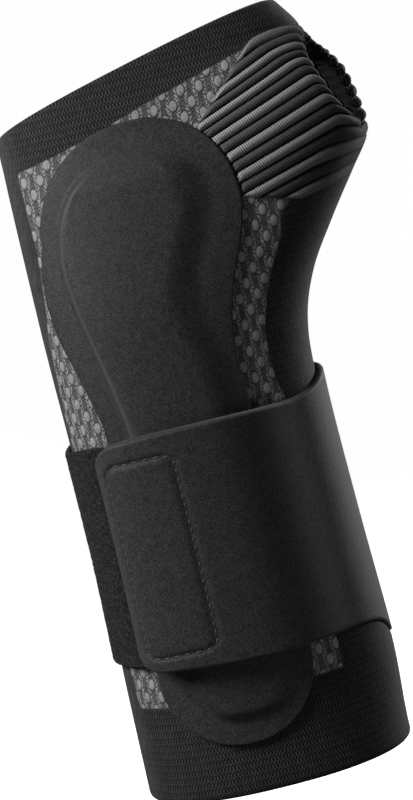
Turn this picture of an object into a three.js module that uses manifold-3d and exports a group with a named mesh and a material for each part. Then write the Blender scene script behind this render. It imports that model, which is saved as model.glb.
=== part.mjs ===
// Knitted wrist brace for a right hand: an open compression sleeve with a ribbed thumb gusset,
// a palm pocket that holds a flat stay, and a forearm strap that closes with hook and loop.
//
// Millimetres. +Z runs up the forearm to the fingers, +X to the thumb, and the palm faces -Y.
// The origin is the middle of the wrist, where the arm passes through.

import * as THREE from "three";
import { mergeVertices } from "three/addons/utils/BufferGeometryUtils.js";
import Module from "manifold-3d";

const wasm = await Module();
wasm.setup();

// Driving dimensions
const KNIT_WALL = 2; // thickness of the knitted sleeve
const PIECE_GAP = 0.35; // air between pieces that lie on each other
const POCKET_CLOTH = 1; // thickness of the pocket's velour at its edge
const STAY_RAISE = 1.8; // how far the stay lifts the middle of the pocket
const STAY_SHOULDER = 3.5; // width of the slope round the stay
const LANDING_THICK = 1.4; // loop band that the strap closes on
const HOOK_THICK = 0.9; // hook patch under the strap's end
const STRAP_THICK = 1.7;
const MM_PER_DEGREE = 0.5; // arc on the forearm for one degree

// How many facets each face is divided into
const FACETS = {
  sleeve: { round: 44, up: 28 },
  hollow: { round: 28, up: 15 },
  rib: { along: 14, halfRound: 3 },
  pocket: { up: 28 },
  landing: { round: 30, up: 5 },
  hook: { round: 6, up: 4 },
  strap: { round: 32 },
};

// The sleeve is lofted through these sections, from the forearm cuff to the hand's rim. Each runs
// from its little-finger side (left) to its thumb side (right) and bulges halfDepth to palm and back.
// lean is how far its palm edge stands above its mid-line for each millimetre of depth, because the
// hand is bent back a little. power is 2 for an ellipse and more for a squarer section.
const SECTIONS = [
  { leftX: -34.6, leftZ: -115.5, rightX: 33.6, rightZ: -115.5, midY: 0, halfDepth: 27, lean: 0, power: 2.3 },
  { leftX: -33.8, leftZ: -88, rightX: 33, rightZ: -88, midY: 0, halfDepth: 26, lean: 0, power: 2.3 },
  { leftX: -32.6, leftZ: -56, rightX: 32, rightZ: -56, midY: 0, halfDepth: 24.5, lean: 0, power: 2.3 },
  { leftX: -32.4, leftZ: -24, rightX: 31.6, rightZ: -24, midY: 0, halfDepth: 23, lean: 0, power: 2.3 },
  { leftX: -32.5, leftZ: -8, rightX: 32.8, rightZ: -8, midY: 0, halfDepth: 22, lean: 0.03, power: 2.3 },
  { leftX: -32.5, leftZ: 4, rightX: 37.2, rightZ: 4, midY: 0.5, halfDepth: 21.5, lean: 0.07, power: 2.3 },
  { leftX: -32.4, leftZ: 14, rightX: 44.6, rightZ: 15, midY: 1.5, halfDepth: 21, lean: 0.11, power: 2.35 },
  { leftX: -32.3, leftZ: 24, rightX: 53, rightZ: 26, midY: 3, halfDepth: 20.5, lean: 0.15, power: 2.4 },
  { leftX: -32.2, leftZ: 33, rightX: 61.5, rightZ: 37, midY: 4.5, halfDepth: 20, lean: 0.18, power: 2.45 },
  { leftX: -32.1, leftZ: 40, rightX: 66.5, rightZ: 47.5, midY: 6, halfDepth: 19, lean: 0.21, power: 2.5 },
  { leftX: -32, leftZ: 45, rightX: 62, rightZ: 57, midY: 7.5, halfDepth: 18.5, lean: 0.23, power: 2.5 },
  { leftX: -32, leftZ: 48.5, rightX: 51, rightZ: 61, midY: 8.5, halfDepth: 18, lean: 0.23, power: 2.5 },
  { leftX: -31.9, leftZ: 51, rightX: 47.4, rightZ: 66, midY: 9, halfDepth: 17.5, lean: 0.2, power: 2.5 },
  { leftX: -31.6, leftZ: 53.6, rightX: 42.9, rightZ: 72.2, midY: 9.7, halfDepth: 17, lean: 0.16, power: 2.5 },
];
const TOP = SECTIONS.length - 1;

// The thumb hole is cut where the sleeve's thumb lobe crosses this plane.
const THUMB_HOLE_POINT = new THREE.Vector3(56, 0, 44.5);
const THUMB_HOLE_NORMAL = new THREE.Vector3(0.918, -0.19, 0.347).normalize();
const THUMB_CUT = { along: 30, wide: 60, tall: 90 }; // block that makes the cut
const HAND_WAY = new THREE.Vector3(-0.25, 0.22, 1); // way out of the hand's rim
const RIM_OVERRUN = 4; // how far the hollow is cut past each rim

// Ribs of the gusset run across the palm one above the other. Each crosses x = RIB_START_X at its
// level, and they fan out: the higher rib is the steeper one.
const RIB_COUNT = 15;
const RIB_START_X = 24.5;
const RIB_LOWEST_LEVEL = 20.8;
const RIB_PITCH = 2.72;
const RIB_SLOPE = 0.1514; // slope at level 0
const RIB_FAN = 0.0045; // gain in slope for each millimetre of level
const RIB_RADIUS = 1.25;
const RIB_LIFT = 0.1; // rib centre above the sleeve's face
const RIB_SINK = { depth: 1, within: 10, over: 40 }; // ribs flatten at the thumb side, by angle from it
const RIB_BACK_START_X = 30;
const RIB_POCKET_GAP = 1.6; // room between the ribs' ends and the pocket
const RIB_SEARCH = { palm: 255, palmEnd: 355, back: 380, backEnd: 440, step: 0.5 }; // degrees

// Ribs bend down before the thumb hole: over this length, by this drop at the hole. The lowest and the
// topmost ones start to do so earlier, and the topmost ones lie lower all along.
const RIB_BENDS = [
  { level: 24, over: 20.5, drop: 3.7, lower: 0 },
  { level: 31, over: 6, drop: 3.5, lower: 0 },
  { level: 46, over: 6, drop: 3.5, lower: 0 },
  { level: 55, over: 12.5, drop: 5.2, lower: 1.6 },
];

// Edges of the ribbed gusset on the palm side, as straight lines through a point.
const GUSSET_TOP_EDGE = { x: 34.2, z: 62.4, slope: 0.97 };
const GUSSET_LOW_EDGE = { x: 24.6, z: 26.6, slope: -0.3 };

// Width of the pocket and of the stay in it, by height. Round ends close both, and each head's top
// is shifted to the thumb.
const POCKET = {
  tipZ: -102.7,
  topZ: 51.1,
  headPower: 2.1,
  headShift: 2.2,
  rows: [
    { z: -84.7, left: -24.4, right: 13.1 },
    { z: -22, left: -22.2, right: 13.4 },
    { z: -12, left: -23.8, right: 13 },
    { z: -4, left: -25.6, right: 13.5 },
    { z: 2, left: -27.2, right: 14.8 },
    { z: 8, left: -28, right: 16.8 },
    { z: 14, left: -28.2, right: 19.4 },
    { z: 20, left: -27.6, right: 21.8 },
    { z: 26, left: -26.2, right: 23.4 },
  ],
};
const STAY = {
  tipZ: -97.5,
  topZ: 44,
  headPower: 2.2,
  headShift: 3,
  rows: [
    { z: -83.9, left: -17.3, right: 6.3 },
    { z: -24, left: -17.2, right: 7 },
    { z: -10, left: -18.9, right: 5.6 },
    { z: 0, left: -20.7, right: 3.4 },
    { z: 7, left: -22.1, right: 2.8 },
    { z: 13, left: -23, right: 4.5 },
    { z: 20, left: -23.2, right: 7.6 },
    { z: 27, left: -22.2, right: 10.8 },
  ],
};

// Strap and loop band run round the forearm. Angles are in degrees seen from the fingers:
// 0 thumb side, 90 back, 180 little-finger side, 270 palm. The strap goes from the back seam,
// round the thumb side, to its tab on the palm; the band goes the other way, under the tab.
const STRAP_EDGES = [
  { angle: 226, topZ: -23.6, lowZ: -80.2 },
  { angle: 250, topZ: -22.7, lowZ: -80.8 },
  { angle: 275, topZ: -22.7, lowZ: -81.6 },
  { angle: 295, topZ: -23.2, lowZ: -81.8 },
  { angle: 315, topZ: -23.6, lowZ: -82.2 },
  { angle: 330, topZ: -22.6, lowZ: -83 },
  { angle: 342, topZ: -21.2, lowZ: -85 },
  { angle: 355, topZ: -19.6, lowZ: -89.2 },
  { angle: 380, topZ: -19, lowZ: -90 },
  { angle: 464, topZ: -19, lowZ: -90 },
];
const LANDING_EDGES = [
  { angle: 86, topZ: -22.5, lowZ: -86 },
  { angle: 140, topZ: -23.5, lowZ: -83 },
  { angle: 180, topZ: -25.2, lowZ: -79.9 },
  { angle: 200, topZ: -24.5, lowZ: -79.7 },
  { angle: 226, topZ: -23.8, lowZ: -79.4 },
  { angle: 240, topZ: -24.4, lowZ: -79.3 },
  { angle: 270, topZ: -25.4, lowZ: -79.2 },
];
const TAB_CORNER = 6; // radius of the strap's two free corners
const TAB_ANGLES = [0.2, 1.5, 4, 8, 12, 17]; // degrees from the tab's end, close where it is round
const STRAP_SHARES = [0, 0.07, 0.3, 0.5, 0.7, 0.92, 1]; // rows across, one at each end of the hook patch

// Where the bands leave the sleeve's face to cross what lies under them, by angle.
const LANDING_RISE = { from: 200, to: 246 };
const STRAP_FALL = { from: 272, to: 318 };
const SEAM_RISE = { from: 430, to: 442 };

// Hook patch: a rounded rectangle on the strap's inner face. The strap lies flat over it and over
// edgeFlat beside it, and is down again at edgeSlope.
const HOOK = { fromAngle: 231, toAngle: 261, topZ: -27.5, lowZ: -76, corner: 4, edgeFlat: 1, edgeSlope: 4 };
const HOOK_CORNER_STEPS = [0, 0.4, 1.4, 3, HOOK.corner];

const clamp = (value, low, high) => Math.min(Math.max(value, low), high);
const smoothStep = (low, high, value) => THREE.MathUtils.smoothstep(value, low, high);
const signedPower = (value, power) => Math.sign(value) * Math.abs(value) ** power;

// Value of a smooth curve through four table entries, t from 0 to 1 between the middle two.
function catmullRom(before, from, to, after, t) {
  const bend = 2 * before - 5 * from + 4 * to - after;
  const twist = 3 * (from - to) + after - before;
  return from + 0.5 * t * (to - before + t * (bend + t * twist));
}

// One column of a table at a place between its rows: row number plus fraction.
function between(rows, place, key) {
  const last = rows.length - 1;
  const i = Math.min(Math.floor(clamp(place, 0, last)), last - 1);
  const from = rows[i][key];
  const to = rows[i + 1][key];
  const before = i > 0 ? rows[i - 1][key] : 2 * from - to;
  const after = i < last - 1 ? rows[i + 2][key] : 2 * to - from;
  return catmullRom(before, from, to, after, place - i);
}

// Row number plus fraction where an increasing column of a table reaches a value.
function placeOf(rows, key, value) {
  const last = rows.length - 1;
  if (value <= rows[0][key]) return 0;
  if (value >= rows[last][key]) return last;
  const i = rows.findIndex((row) => row[key] > value) - 1;
  return i + (value - rows[i][key]) / (rows[i + 1][key] - rows[i][key]);
}

// Solves rising(v) = 0 for a section number v.
function sectionWhere(rising) {
  const halvings = 36;
  let low = 0;
  let high = TOP;
  for (let step = 0; step < halvings; step += 1) {
    const middle = (low + high) / 2;
    if (rising(middle) < 0) low = middle;
    else high = middle;
  }
  return (low + high) / 2;
}

// The sleeve's outer face

function sectionAt(v) {
  const section = {};
  for (const key of Object.keys(SECTIONS[0])) section[key] = between(SECTIONS, v, key);
  return section;
}

function sleevePoint(degrees, v) {
  const s = sectionAt(v);
  const angle = THREE.MathUtils.degToRad(degrees);
  const across = signedPower(Math.cos(angle), 2 / s.power);
  const deep = s.halfDepth * signedPower(Math.sin(angle), 2 / s.power);
  return new THREE.Vector3(
    (s.leftX + s.rightX) / 2 + ((s.rightX - s.leftX) / 2) * across,
    s.midY + deep,
    (s.leftZ + s.rightZ) / 2 + ((s.rightZ - s.leftZ) / 2) * across - s.lean * deep,
  );
}

function sleeveNormal(degrees, v) {
  const turn = 1.5;
  const rise = 0.02;
  const round = sleevePoint(degrees + turn, v).sub(sleevePoint(degrees - turn, v));
  const up = sleevePoint(degrees, Math.min(v + rise, TOP)).sub(sleevePoint(degrees, Math.max(v - rise, 0)));
  return round.cross(up).normalize();
}

const above = (degrees, v, height) =>
  sleevePoint(degrees, v).addScaledVector(sleeveNormal(degrees, v), height);

// A point above the sleeve at an angle and a height up the arm.
function aboveAtAngle(degrees, z, height) {
  return above(degrees, sectionWhere((v) => sleevePoint(degrees, v).z - z), height);
}

// Angle on the palm side of section v where the sleeve passes x.
function palmAngle(x, v) {
  const s = sectionAt(v);
  const across = clamp((2 * x - s.leftX - s.rightX) / (s.rightX - s.leftX), -1, 1);
  return 360 - THREE.MathUtils.radToDeg(Math.acos(signedPower(across, s.power / 2)));
}

// A point above the palm side of the sleeve at x and z.
function aboveAtPalm(x, z, height) {
  const v = sectionWhere((at) => sleevePoint(palmAngle(x, at), at).z - z);
  return above(palmAngle(x, v), v, height);
}

// Solids from grids of points

function geometryOf(points, triangles) {
  const geometry = new THREE.BufferGeometry();
  const position = new Float32Array(points.flatMap((p) => [p.x, p.y, p.z]));
  geometry.setAttribute("position", new THREE.BufferAttribute(position, 3));
  geometry.setIndex(triangles);
  return geometry;
}

// A closed skin of rings, each capped end meeting in its ring's middle.
function tubeGeometry(rings) {
  const around = rings[0].length;
  const points = rings.flat();
  const triangles = [];
  for (let i = 0; i < rings.length - 1; i += 1) {
    for (let j = 0; j < around; j += 1) {
      const a = i * around + j;
      const b = i * around + ((j + 1) % around);
      triangles.push(a, b, b + around, a, b + around, a + around);
    }
  }
  for (const [ring, start, flip] of [
    [rings[0], 0, true],
    [rings[rings.length - 1], (rings.length - 1) * around, false],
  ]) {
    const middle = ring.reduce((sum, p) => sum.add(p), new THREE.Vector3()).divideScalar(around);
    points.push(middle);
    for (let j = 0; j < around; j += 1) {
      const a = start + j;
      const b = start + ((j + 1) % around);
      triangles.push(...(flip ? [b, a, points.length - 1] : [a, b, points.length - 1]));
    }
  }
  return geometryOf(points, triangles);
}

// A sheet between two grids of points of the same size: inner[i][j] lies under outer[i][j].
// i runs up the arm and j runs round it, with rising angle.
function sheetGeometry(inner, outer) {
  const rows = inner.length;
  const columns = inner[0].length;
  const count = rows * columns;
  const points = [...outer.flat(), ...inner.flat()];
  const triangles = [];
  const quad = (a, b, c, d) => triangles.push(a, b, c, a, c, d);
  for (let i = 0; i < rows - 1; i += 1) {
    for (let j = 0; j < columns - 1; j += 1) {
      const a = i * columns + j;
      quad(a, a + 1, a + columns + 1, a + columns);
      quad(count + a, count + a + columns, count + a + columns + 1, count + a + 1);
    }
  }
  const rim = [];
  for (let j = 0; j < columns - 1; j += 1) rim.push(j);
  for (let i = 0; i < rows - 1; i += 1) rim.push(i * columns + columns - 1);
  for (let j = columns - 1; j > 0; j -= 1) rim.push((rows - 1) * columns + j);
  for (let i = rows - 1; i > 0; i -= 1) rim.push(i * columns);
  rim.forEach((a, k) => {
    const b = rim[(k + 1) % rim.length];
    quad(b, a, count + a, count + b);
  });
  return geometryOf(points, triangles);
}

function solidOf(geometry) {
  const weld = 1e-4;
  const bare = geometry.clone();
  bare.deleteAttribute("normal");
  bare.deleteAttribute("uv");
  const merged = mergeVertices(bare, weld);
  return new wasm.Manifold(
    new wasm.Mesh({
      numProp: 3,
      vertProperties: merged.attributes.position.array,
      triVerts: new Uint32Array(merged.index.array),
    }),
  );
}

function geometryOfSolid(solid) {
  const { vertProperties, triVerts } = solid.getMesh();
  const geometry = new THREE.BufferGeometry();
  geometry.setAttribute("position", new THREE.BufferAttribute(vertProperties, 3));
  geometry.setIndex(new THREE.BufferAttribute(triVerts, 1));
  return geometry;
}

const steps = (count, from, to) =>
  Array.from({ length: count + 1 }, (_, i) => THREE.MathUtils.lerp(from, to, i / count));

// Outlines on the palm

// Left and right edge of a pocket-like outline at height z, or null outside it.
function outlineAt(outline, z) {
  const { rows, tipZ, topZ, headPower, headShift } = outline;
  const first = rows[0];
  const last = rows[rows.length - 1];
  if (z <= tipZ || z >= topZ) return null;
  const place = placeOf(rows, "z", z);
  const left = between(rows, place, "left");
  const right = between(rows, place, "right");
  const inTip = Math.max(first.z - z, 0) / (first.z - tipZ);
  const inHead = Math.max(z - last.z, 0) / (topZ - last.z);
  const share = Math.sqrt(1 - inTip ** 2) * (1 - inHead ** headPower) ** (1 / headPower);
  const middle = (left + right) / 2 + headShift * inHead;
  const half = ((right - left) / 2) * share;
  return { left: middle - half, right: middle + half };
}

// How far the stay lifts the pocket, from 0 beside it to 1 over it.
function stayRelief(x, z) {
  const stay = outlineAt(STAY, z);
  if (!stay) return 0;
  return smoothStep(0, STAY_SHOULDER, Math.min(x - stay.left, stay.right - x));
}

// True on the ribbed part of the palm side.
function inGusset(x, z) {
  const pocket = outlineAt(POCKET, z);
  const besidePocket = !pocket || x > pocket.right + RIB_POCKET_GAP;
  const belowTop = z < GUSSET_TOP_EDGE.z + GUSSET_TOP_EDGE.slope * (x - GUSSET_TOP_EDGE.x);
  const aboveLow = z > GUSSET_LOW_EDGE.z + GUSSET_LOW_EDGE.slope * (x - GUSSET_LOW_EDGE.x);
  return besidePocket && belowTop && aboveLow;
}

// Sleeve: lofted wall, ribs joined on, thumb hole cut through

// Level of the rib line that passes through a point.
function ribLevel(point) {
  const along = point.x - RIB_START_X;
  const straight = (point.z - RIB_SLOPE * along) / (1 + RIB_FAN * along);
  const place = placeOf(RIB_BENDS, "level", straight);
  const fromHole = THUMB_HOLE_POINT.clone().sub(point).dot(THUMB_HOLE_NORMAL);
  const bent = clamp(1 - fromHole / between(RIB_BENDS, place, "over"), 0, 1);
  return straight + between(RIB_BENDS, place, "drop") * bent ** 2 + between(RIB_BENDS, place, "lower");
}

function ribGeometry(level) {
  const sectionOf = (degrees) => sectionWhere((v) => ribLevel(sleevePoint(degrees, v)) - level);
  const onRib = (degrees) => {
    const raised = smoothStep(RIB_SINK.within, RIB_SINK.over, Math.abs(degrees - 360));
    return above(degrees, sectionOf(degrees), RIB_LIFT - RIB_SINK.depth * (1 - raised));
  };
  const onGusset = (degrees) => {
    const p = sleevePoint(degrees, sectionOf(degrees));
    return inGusset(p.x, p.z);
  };
  const pastBackStart = (degrees) => sleevePoint(degrees, sectionOf(degrees)).x < RIB_BACK_START_X;
  let from = RIB_SEARCH.palm;
  while (from < RIB_SEARCH.palmEnd && !onGusset(from)) from += RIB_SEARCH.step;
  let to = RIB_SEARCH.back;
  while (to < RIB_SEARCH.backEnd && !pastBackStart(to)) to += RIB_SEARCH.step;
  const { along, halfRound } = FACETS.rib;
  const extrudePath = new THREE.CatmullRomCurve3(steps(2 * along, from, to).map(onRib));
  const round = new THREE.Shape().absarc(0, 0, RIB_RADIUS, 0, 2 * Math.PI);
  return new THREE.ExtrudeGeometry(round, { steps: along, curveSegments: halfRound, extrudePath });
}

function knitSleeveGeometry() {
  const rings = ({ round, up }, height) => {
    const angles = steps(round, 0, 360).slice(0, round);
    return steps(up, 0, TOP).map((v) => angles.map((degrees) => above(degrees, v, height)));
  };
  const moved = (ring, way) => ring.map((p) => p.clone().addScaledVector(way, RIM_OVERRUN));
  const hollow = rings(FACETS.hollow, -KNIT_WALL);
  hollow.unshift(moved(hollow[0], new THREE.Vector3(0, 0, -1)));
  hollow.push(moved(hollow[hollow.length - 1], HAND_WAY));
  let solid = solidOf(tubeGeometry(rings(FACETS.sleeve, 0)));
  for (let rib = 0; rib < RIB_COUNT; rib += 1) {
    solid = solid.add(solidOf(ribGeometry(RIB_LOWEST_LEVEL + rib * RIB_PITCH)));
  }
  const cutter = new THREE.BoxGeometry(THUMB_CUT.along, THUMB_CUT.wide, THUMB_CUT.tall);
  cutter.translate(THUMB_CUT.along / 2, 0, 0);
  const facing = new THREE.Quaternion().setFromUnitVectors(new THREE.Vector3(1, 0, 0), THUMB_HOLE_NORMAL);
  cutter.applyQuaternion(facing).translate(...THUMB_HOLE_POINT);
  return geometryOfSolid(solid.subtract(solidOf(tubeGeometry(hollow))).subtract(solidOf(cutter)));
}

// Pocket: velour over the stay, laid on the palm side of the sleeve

function stayPocketGeometry() {
  const tipInset = 0.15; // each end is this blunt
  const crowding = 0.75; // rows stand closer at the round ends
  const middle = (POCKET.tipZ + POCKET.topZ) / 2;
  const half = (POCKET.topZ - POCKET.tipZ) / 2 - tipInset;
  const heights = steps(FACETS.pocket.up, -1, 1).map((t) => {
    const crowded = Math.sin((t * Math.PI) / 2);
    return middle + half * THREE.MathUtils.lerp(t, crowded, crowding);
  });
  // Columns follow the foot and the shoulder of the slope round the stay, so that it has clean edges.
  const columnsAt = (z) => {
    const { left, right } = outlineAt(POCKET, z);
    const near = clamp(z, STAY.tipZ + STAY_SHOULDER, STAY.topZ - STAY_SHOULDER);
    const outside = outlineAt(POCKET, near);
    const stay = outlineAt(STAY, near);
    const shoulder = Math.min(STAY_SHOULDER, (stay.right - stay.left) / 3);
    const xs = [
      ...steps(2, outside.left, stay.left),
      stay.left + shoulder / 2,
      ...steps(3, stay.left + shoulder, stay.right - shoulder),
      stay.right - shoulder / 2,
      ...steps(3, stay.right, outside.right),
    ];
    return xs.map((x) => THREE.MathUtils.mapLinear(x, outside.left, outside.right, left, right));
  };
  const grid = (heightAt) =>
    heights.map((z) => columnsAt(z).map((x) => aboveAtPalm(x, z, heightAt(x, z))));
  return sheetGeometry(
    grid(() => PIECE_GAP),
    grid((x, z) => PIECE_GAP + POCKET_CLOTH + STAY_RAISE * stayRelief(x, z)),
  );
}

// Strap, loop band and hook patch: sheets wrapped round the forearm, one above the other

const POCKET_CLEAR = 2 * PIECE_GAP + POCKET_CLOTH + STAY_RAISE;
const ON_LANDING = LANDING_THICK + PIECE_GAP;

// Height of the loop band's inner face above the sleeve.
const landingHeight = (degrees) =>
  THREE.MathUtils.lerp(PIECE_GAP, POCKET_CLEAR, smoothStep(LANDING_RISE.from, LANDING_RISE.to, degrees));

// 1 over the hook patch, falling to 0 beside it.
function hookRelief(degrees, z) {
  const beside = Math.max(HOOK.fromAngle - degrees, degrees - HOOK.toAngle, 0) * MM_PER_DEGREE;
  const beyond = Math.max(z - HOOK.topZ, HOOK.lowZ - z, 0);
  return 1 - smoothStep(HOOK.edgeFlat, HOOK.edgeSlope, Math.hypot(beside, beyond));
}

// Height of the strap's inner face above the sleeve.
function strapHeight(degrees, z) {
  if (degrees <= STRAP_FALL.from) {
    return landingHeight(degrees) + ON_LANDING + (HOOK_THICK + PIECE_GAP) * hookRelief(degrees, z);
  }
  const fallen = smoothStep(STRAP_FALL.from, STRAP_FALL.to, degrees);
  const overPocket = THREE.MathUtils.lerp(POCKET_CLEAR + ON_LANDING, PIECE_GAP, fallen);
  return overPocket + ON_LANDING * smoothStep(SEAM_RISE.from, SEAM_RISE.to, degrees);
}

function edgesAt(table, degrees) {
  const place = placeOf(table, "angle", degrees);
  return { top: between(table, place, "topZ"), low: between(table, place, "lowZ") };
}

// How far a round corner draws in an edge, at a distance from the end.
const cornerInset = (radius, fromEnd) =>
  fromEnd < radius ? radius - Math.sqrt(radius ** 2 - (radius - fromEnd) ** 2) : 0;

// A band at the given angles of an edge table and shares of its width. heightAt gives its inner face
// and insetAt its round end.
function bandGeometry(table, thickness, angles, shares, heightAt, insetAt) {
  const grid = (lift) =>
    shares.map((share) =>
      angles.map((degrees) => {
        const { top, low } = edgesAt(table, degrees);
        const inset = insetAt(degrees);
        const z = THREE.MathUtils.lerp(low + inset, top - inset, share);
        return aboveAtAngle(degrees, z, heightAt(degrees, z) + lift);
      }),
    );
  return sheetGeometry(grid(0), grid(thickness));
}

function strapGeometry() {
  const tabEnd = STRAP_EDGES[0].angle;
  const seam = STRAP_EDGES.at(-1).angle;
  const tabAngles = TAB_ANGLES.map((past) => tabEnd + past);
  const angles = [...tabAngles, ...steps(FACETS.strap.round, tabAngles.at(-1), seam).slice(1)];
  const insetAt = (degrees) => cornerInset(TAB_CORNER, (degrees - tabEnd) * MM_PER_DEGREE);
  return bandGeometry(STRAP_EDGES, STRAP_THICK, angles, STRAP_SHARES, strapHeight, insetAt);
}

function strapLandingGeometry() {
  const { round, up } = FACETS.landing;
  const angles = steps(round, LANDING_EDGES[0].angle, LANDING_EDGES.at(-1).angle);
  const square = () => 0;
  return bandGeometry(LANDING_EDGES, LANDING_THICK, angles, steps(up, 0, 1), landingHeight, square);
}

function hookPatchGeometry() {
  const { round, up } = FACETS.hook;
  const heights = [
    ...HOOK_CORNER_STEPS.map((past) => HOOK.lowZ + past),
    ...steps(up, HOOK.lowZ + HOOK.corner, HOOK.topZ - HOOK.corner).slice(1, -1),
    ...HOOK_CORNER_STEPS.map((past) => HOOK.topZ - past).reverse(),
  ];
  const grid = (lift) =>
    heights.map((z) => {
      const inset = cornerInset(HOOK.corner, Math.min(z - HOOK.lowZ, HOOK.topZ - z)) / MM_PER_DEGREE;
      return steps(round, HOOK.fromAngle + inset, HOOK.toAngle - inset).map((degrees) =>
        aboveAtAngle(degrees, z, landingHeight(degrees) + ON_LANDING + lift),
      );
    });
  return sheetGeometry(grid(0), grid(HOOK_THICK));
}

// Assembly

const cloth = (hex, roughness) =>
  new THREE.MeshStandardMaterial({ color: hex, roughness, metalness: 0 });

function piece(name, geometry, material) {
  const mesh = new THREE.Mesh(geometry, material);
  mesh.name = name;
  return mesh;
}

const brace = new THREE.Group();
brace.add(
  piece("knit_sleeve", knitSleeveGeometry(), cloth(0x3a3a3c, 0.9)),
  piece("stay_pocket", stayPocketGeometry(), cloth(0x2e2e30, 0.95)),
  piece("strap_landing", strapLandingGeometry(), cloth(0x1c1c1d, 1)),
  piece("hook_patch", hookPatchGeometry(), cloth(0x161616, 0.7)),
  piece("strap", strapGeometry(), cloth(0x2b2b2d, 0.95)),
);

export default brace;
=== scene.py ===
import math

import bmesh
import bpy
import numpy as np
from mathutils import Matrix, Vector


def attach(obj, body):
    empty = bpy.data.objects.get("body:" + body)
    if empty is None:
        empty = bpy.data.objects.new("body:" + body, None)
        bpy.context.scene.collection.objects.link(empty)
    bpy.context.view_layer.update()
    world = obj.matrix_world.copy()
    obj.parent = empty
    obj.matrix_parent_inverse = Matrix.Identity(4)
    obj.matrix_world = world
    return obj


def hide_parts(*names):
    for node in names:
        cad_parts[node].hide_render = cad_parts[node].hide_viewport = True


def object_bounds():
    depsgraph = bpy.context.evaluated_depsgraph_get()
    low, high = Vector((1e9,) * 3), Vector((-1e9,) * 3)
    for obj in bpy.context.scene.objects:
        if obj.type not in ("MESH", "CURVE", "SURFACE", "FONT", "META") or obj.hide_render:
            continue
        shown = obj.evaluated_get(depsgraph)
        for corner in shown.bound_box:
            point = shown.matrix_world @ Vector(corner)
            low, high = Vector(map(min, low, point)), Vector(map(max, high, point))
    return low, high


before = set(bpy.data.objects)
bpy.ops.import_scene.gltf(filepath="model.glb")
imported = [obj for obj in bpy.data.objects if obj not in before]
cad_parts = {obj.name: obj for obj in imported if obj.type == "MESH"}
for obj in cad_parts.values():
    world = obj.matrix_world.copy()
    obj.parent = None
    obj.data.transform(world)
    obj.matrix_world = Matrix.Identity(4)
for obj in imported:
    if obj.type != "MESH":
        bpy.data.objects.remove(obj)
cad_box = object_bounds()

# Camera
# The brace is seen square on to the palm from a little above, with the arm leaning to the left.
# The lens is for a 36 mm sensor along the picture's long side.
VIEW_DISTANCE = 0.7
VIEW_ELEVATION = math.radians(5.5)
VIEW_ROLL = math.radians(-14)
VIEW_TARGET = Vector((0.00344, -0.00205, -0.02101))
VIEW_LENS = 126.25

camera = bpy.data.objects.new("camera", bpy.data.cameras.new("camera"))
camera.data.lens = VIEW_LENS
camera.location = VIEW_DISTANCE * Vector((0, -math.cos(VIEW_ELEVATION), math.sin(VIEW_ELEVATION)))
view_aim = (VIEW_TARGET - camera.location).to_track_quat("-Z", "Y").to_matrix()
camera.rotation_euler = (view_aim @ Matrix.Rotation(VIEW_ROLL, 3, "Z")).to_euler()
bpy.context.scene.collection.objects.link(camera)
bpy.context.scene.camera = camera

# Knitted sleeve
# A tube of polyamide and elastane yarn, knitted to shape in one piece: plain jersey at both ends
# and down the thumb side, raised bubbles beside the palm pocket, and a gusset of thick ribs round
# the thumb hole. The arm, hand and thumb holes end in a soft rolled edge.
MM = 0.001
KNIT_WALL = 2

# Sections from the forearm to the hand's rim, in millimetres. Each runs from its little-finger side
# (left) to its thumb side (right). Columns: left x, left z, right x, right z, middle y, half depth,
# lean of the palm side, and power of the oval, which is 2 for an ellipse.
SECTIONS = np.array([
    [-34.6, -115.5, 33.6, -115.5, 0, 27, 0, 2.3],
    [-33.8, -88, 33, -88, 0, 26, 0, 2.3],
    [-32.6, -56, 32, -56, 0, 24.5, 0, 2.3],
    [-32.4, -24, 31.6, -24, 0, 23, 0, 2.3],
    [-32.5, -8, 32.8, -8, 0, 22, 0.03, 2.3],
    [-32.5, 4, 37.2, 4, 0.5, 21.5, 0.07, 2.3],
    [-32.4, 14, 44.6, 15, 1.5, 21, 0.11, 2.35],
    [-32.3, 24, 53, 26, 3, 20.5, 0.15, 2.4],
    [-32.2, 33, 61.5, 37, 4.5, 20, 0.18, 2.45],
    [-32.1, 40, 66.5, 47.5, 6, 19, 0.21, 2.5],
    [-32, 45, 62, 57, 7.5, 18.5, 0.23, 2.5],
    [-32, 48.5, 51, 61, 8.5, 18, 0.23, 2.5],
    [-31.9, 51, 47.4, 66, 9, 17.5, 0.2, 2.5],
    [-31.6, 53.6, 42.9, 72.2, 9.7, 17, 0.16, 2.5],
])
TOP = len(SECTIONS) - 1
HALVINGS = 30


def signed_power(value, power):
    return np.sign(value) * np.abs(value) ** power


def smooth_step(low, high, value):
    share = np.clip((value - low) / (high - low), 0, 1)
    return share * share * (3 - 2 * share)


def smooth_rows(table, place):
    """Columns of a table at places between its rows, on a smooth curve through them."""
    ends = np.vstack([2 * table[0] - table[1], table, 2 * table[-1] - table[-2]])
    row = np.clip(np.floor(place).astype(int), 0, len(table) - 2)
    share = (place - row)[..., None]
    before, start, end, after = (ends[row + step] for step in range(4))
    bend = 2 * before - 5 * start + 4 * end - after
    twist = 3 * (start - end) + after - before
    return start + 0.5 * share * (end - before + share * (bend + share * twist))


def table_at(table, value):
    """Columns of a table where its rising first column reaches a value."""
    return smooth_rows(table, np.interp(value, table[:, 0], np.arange(len(table))))


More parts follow.
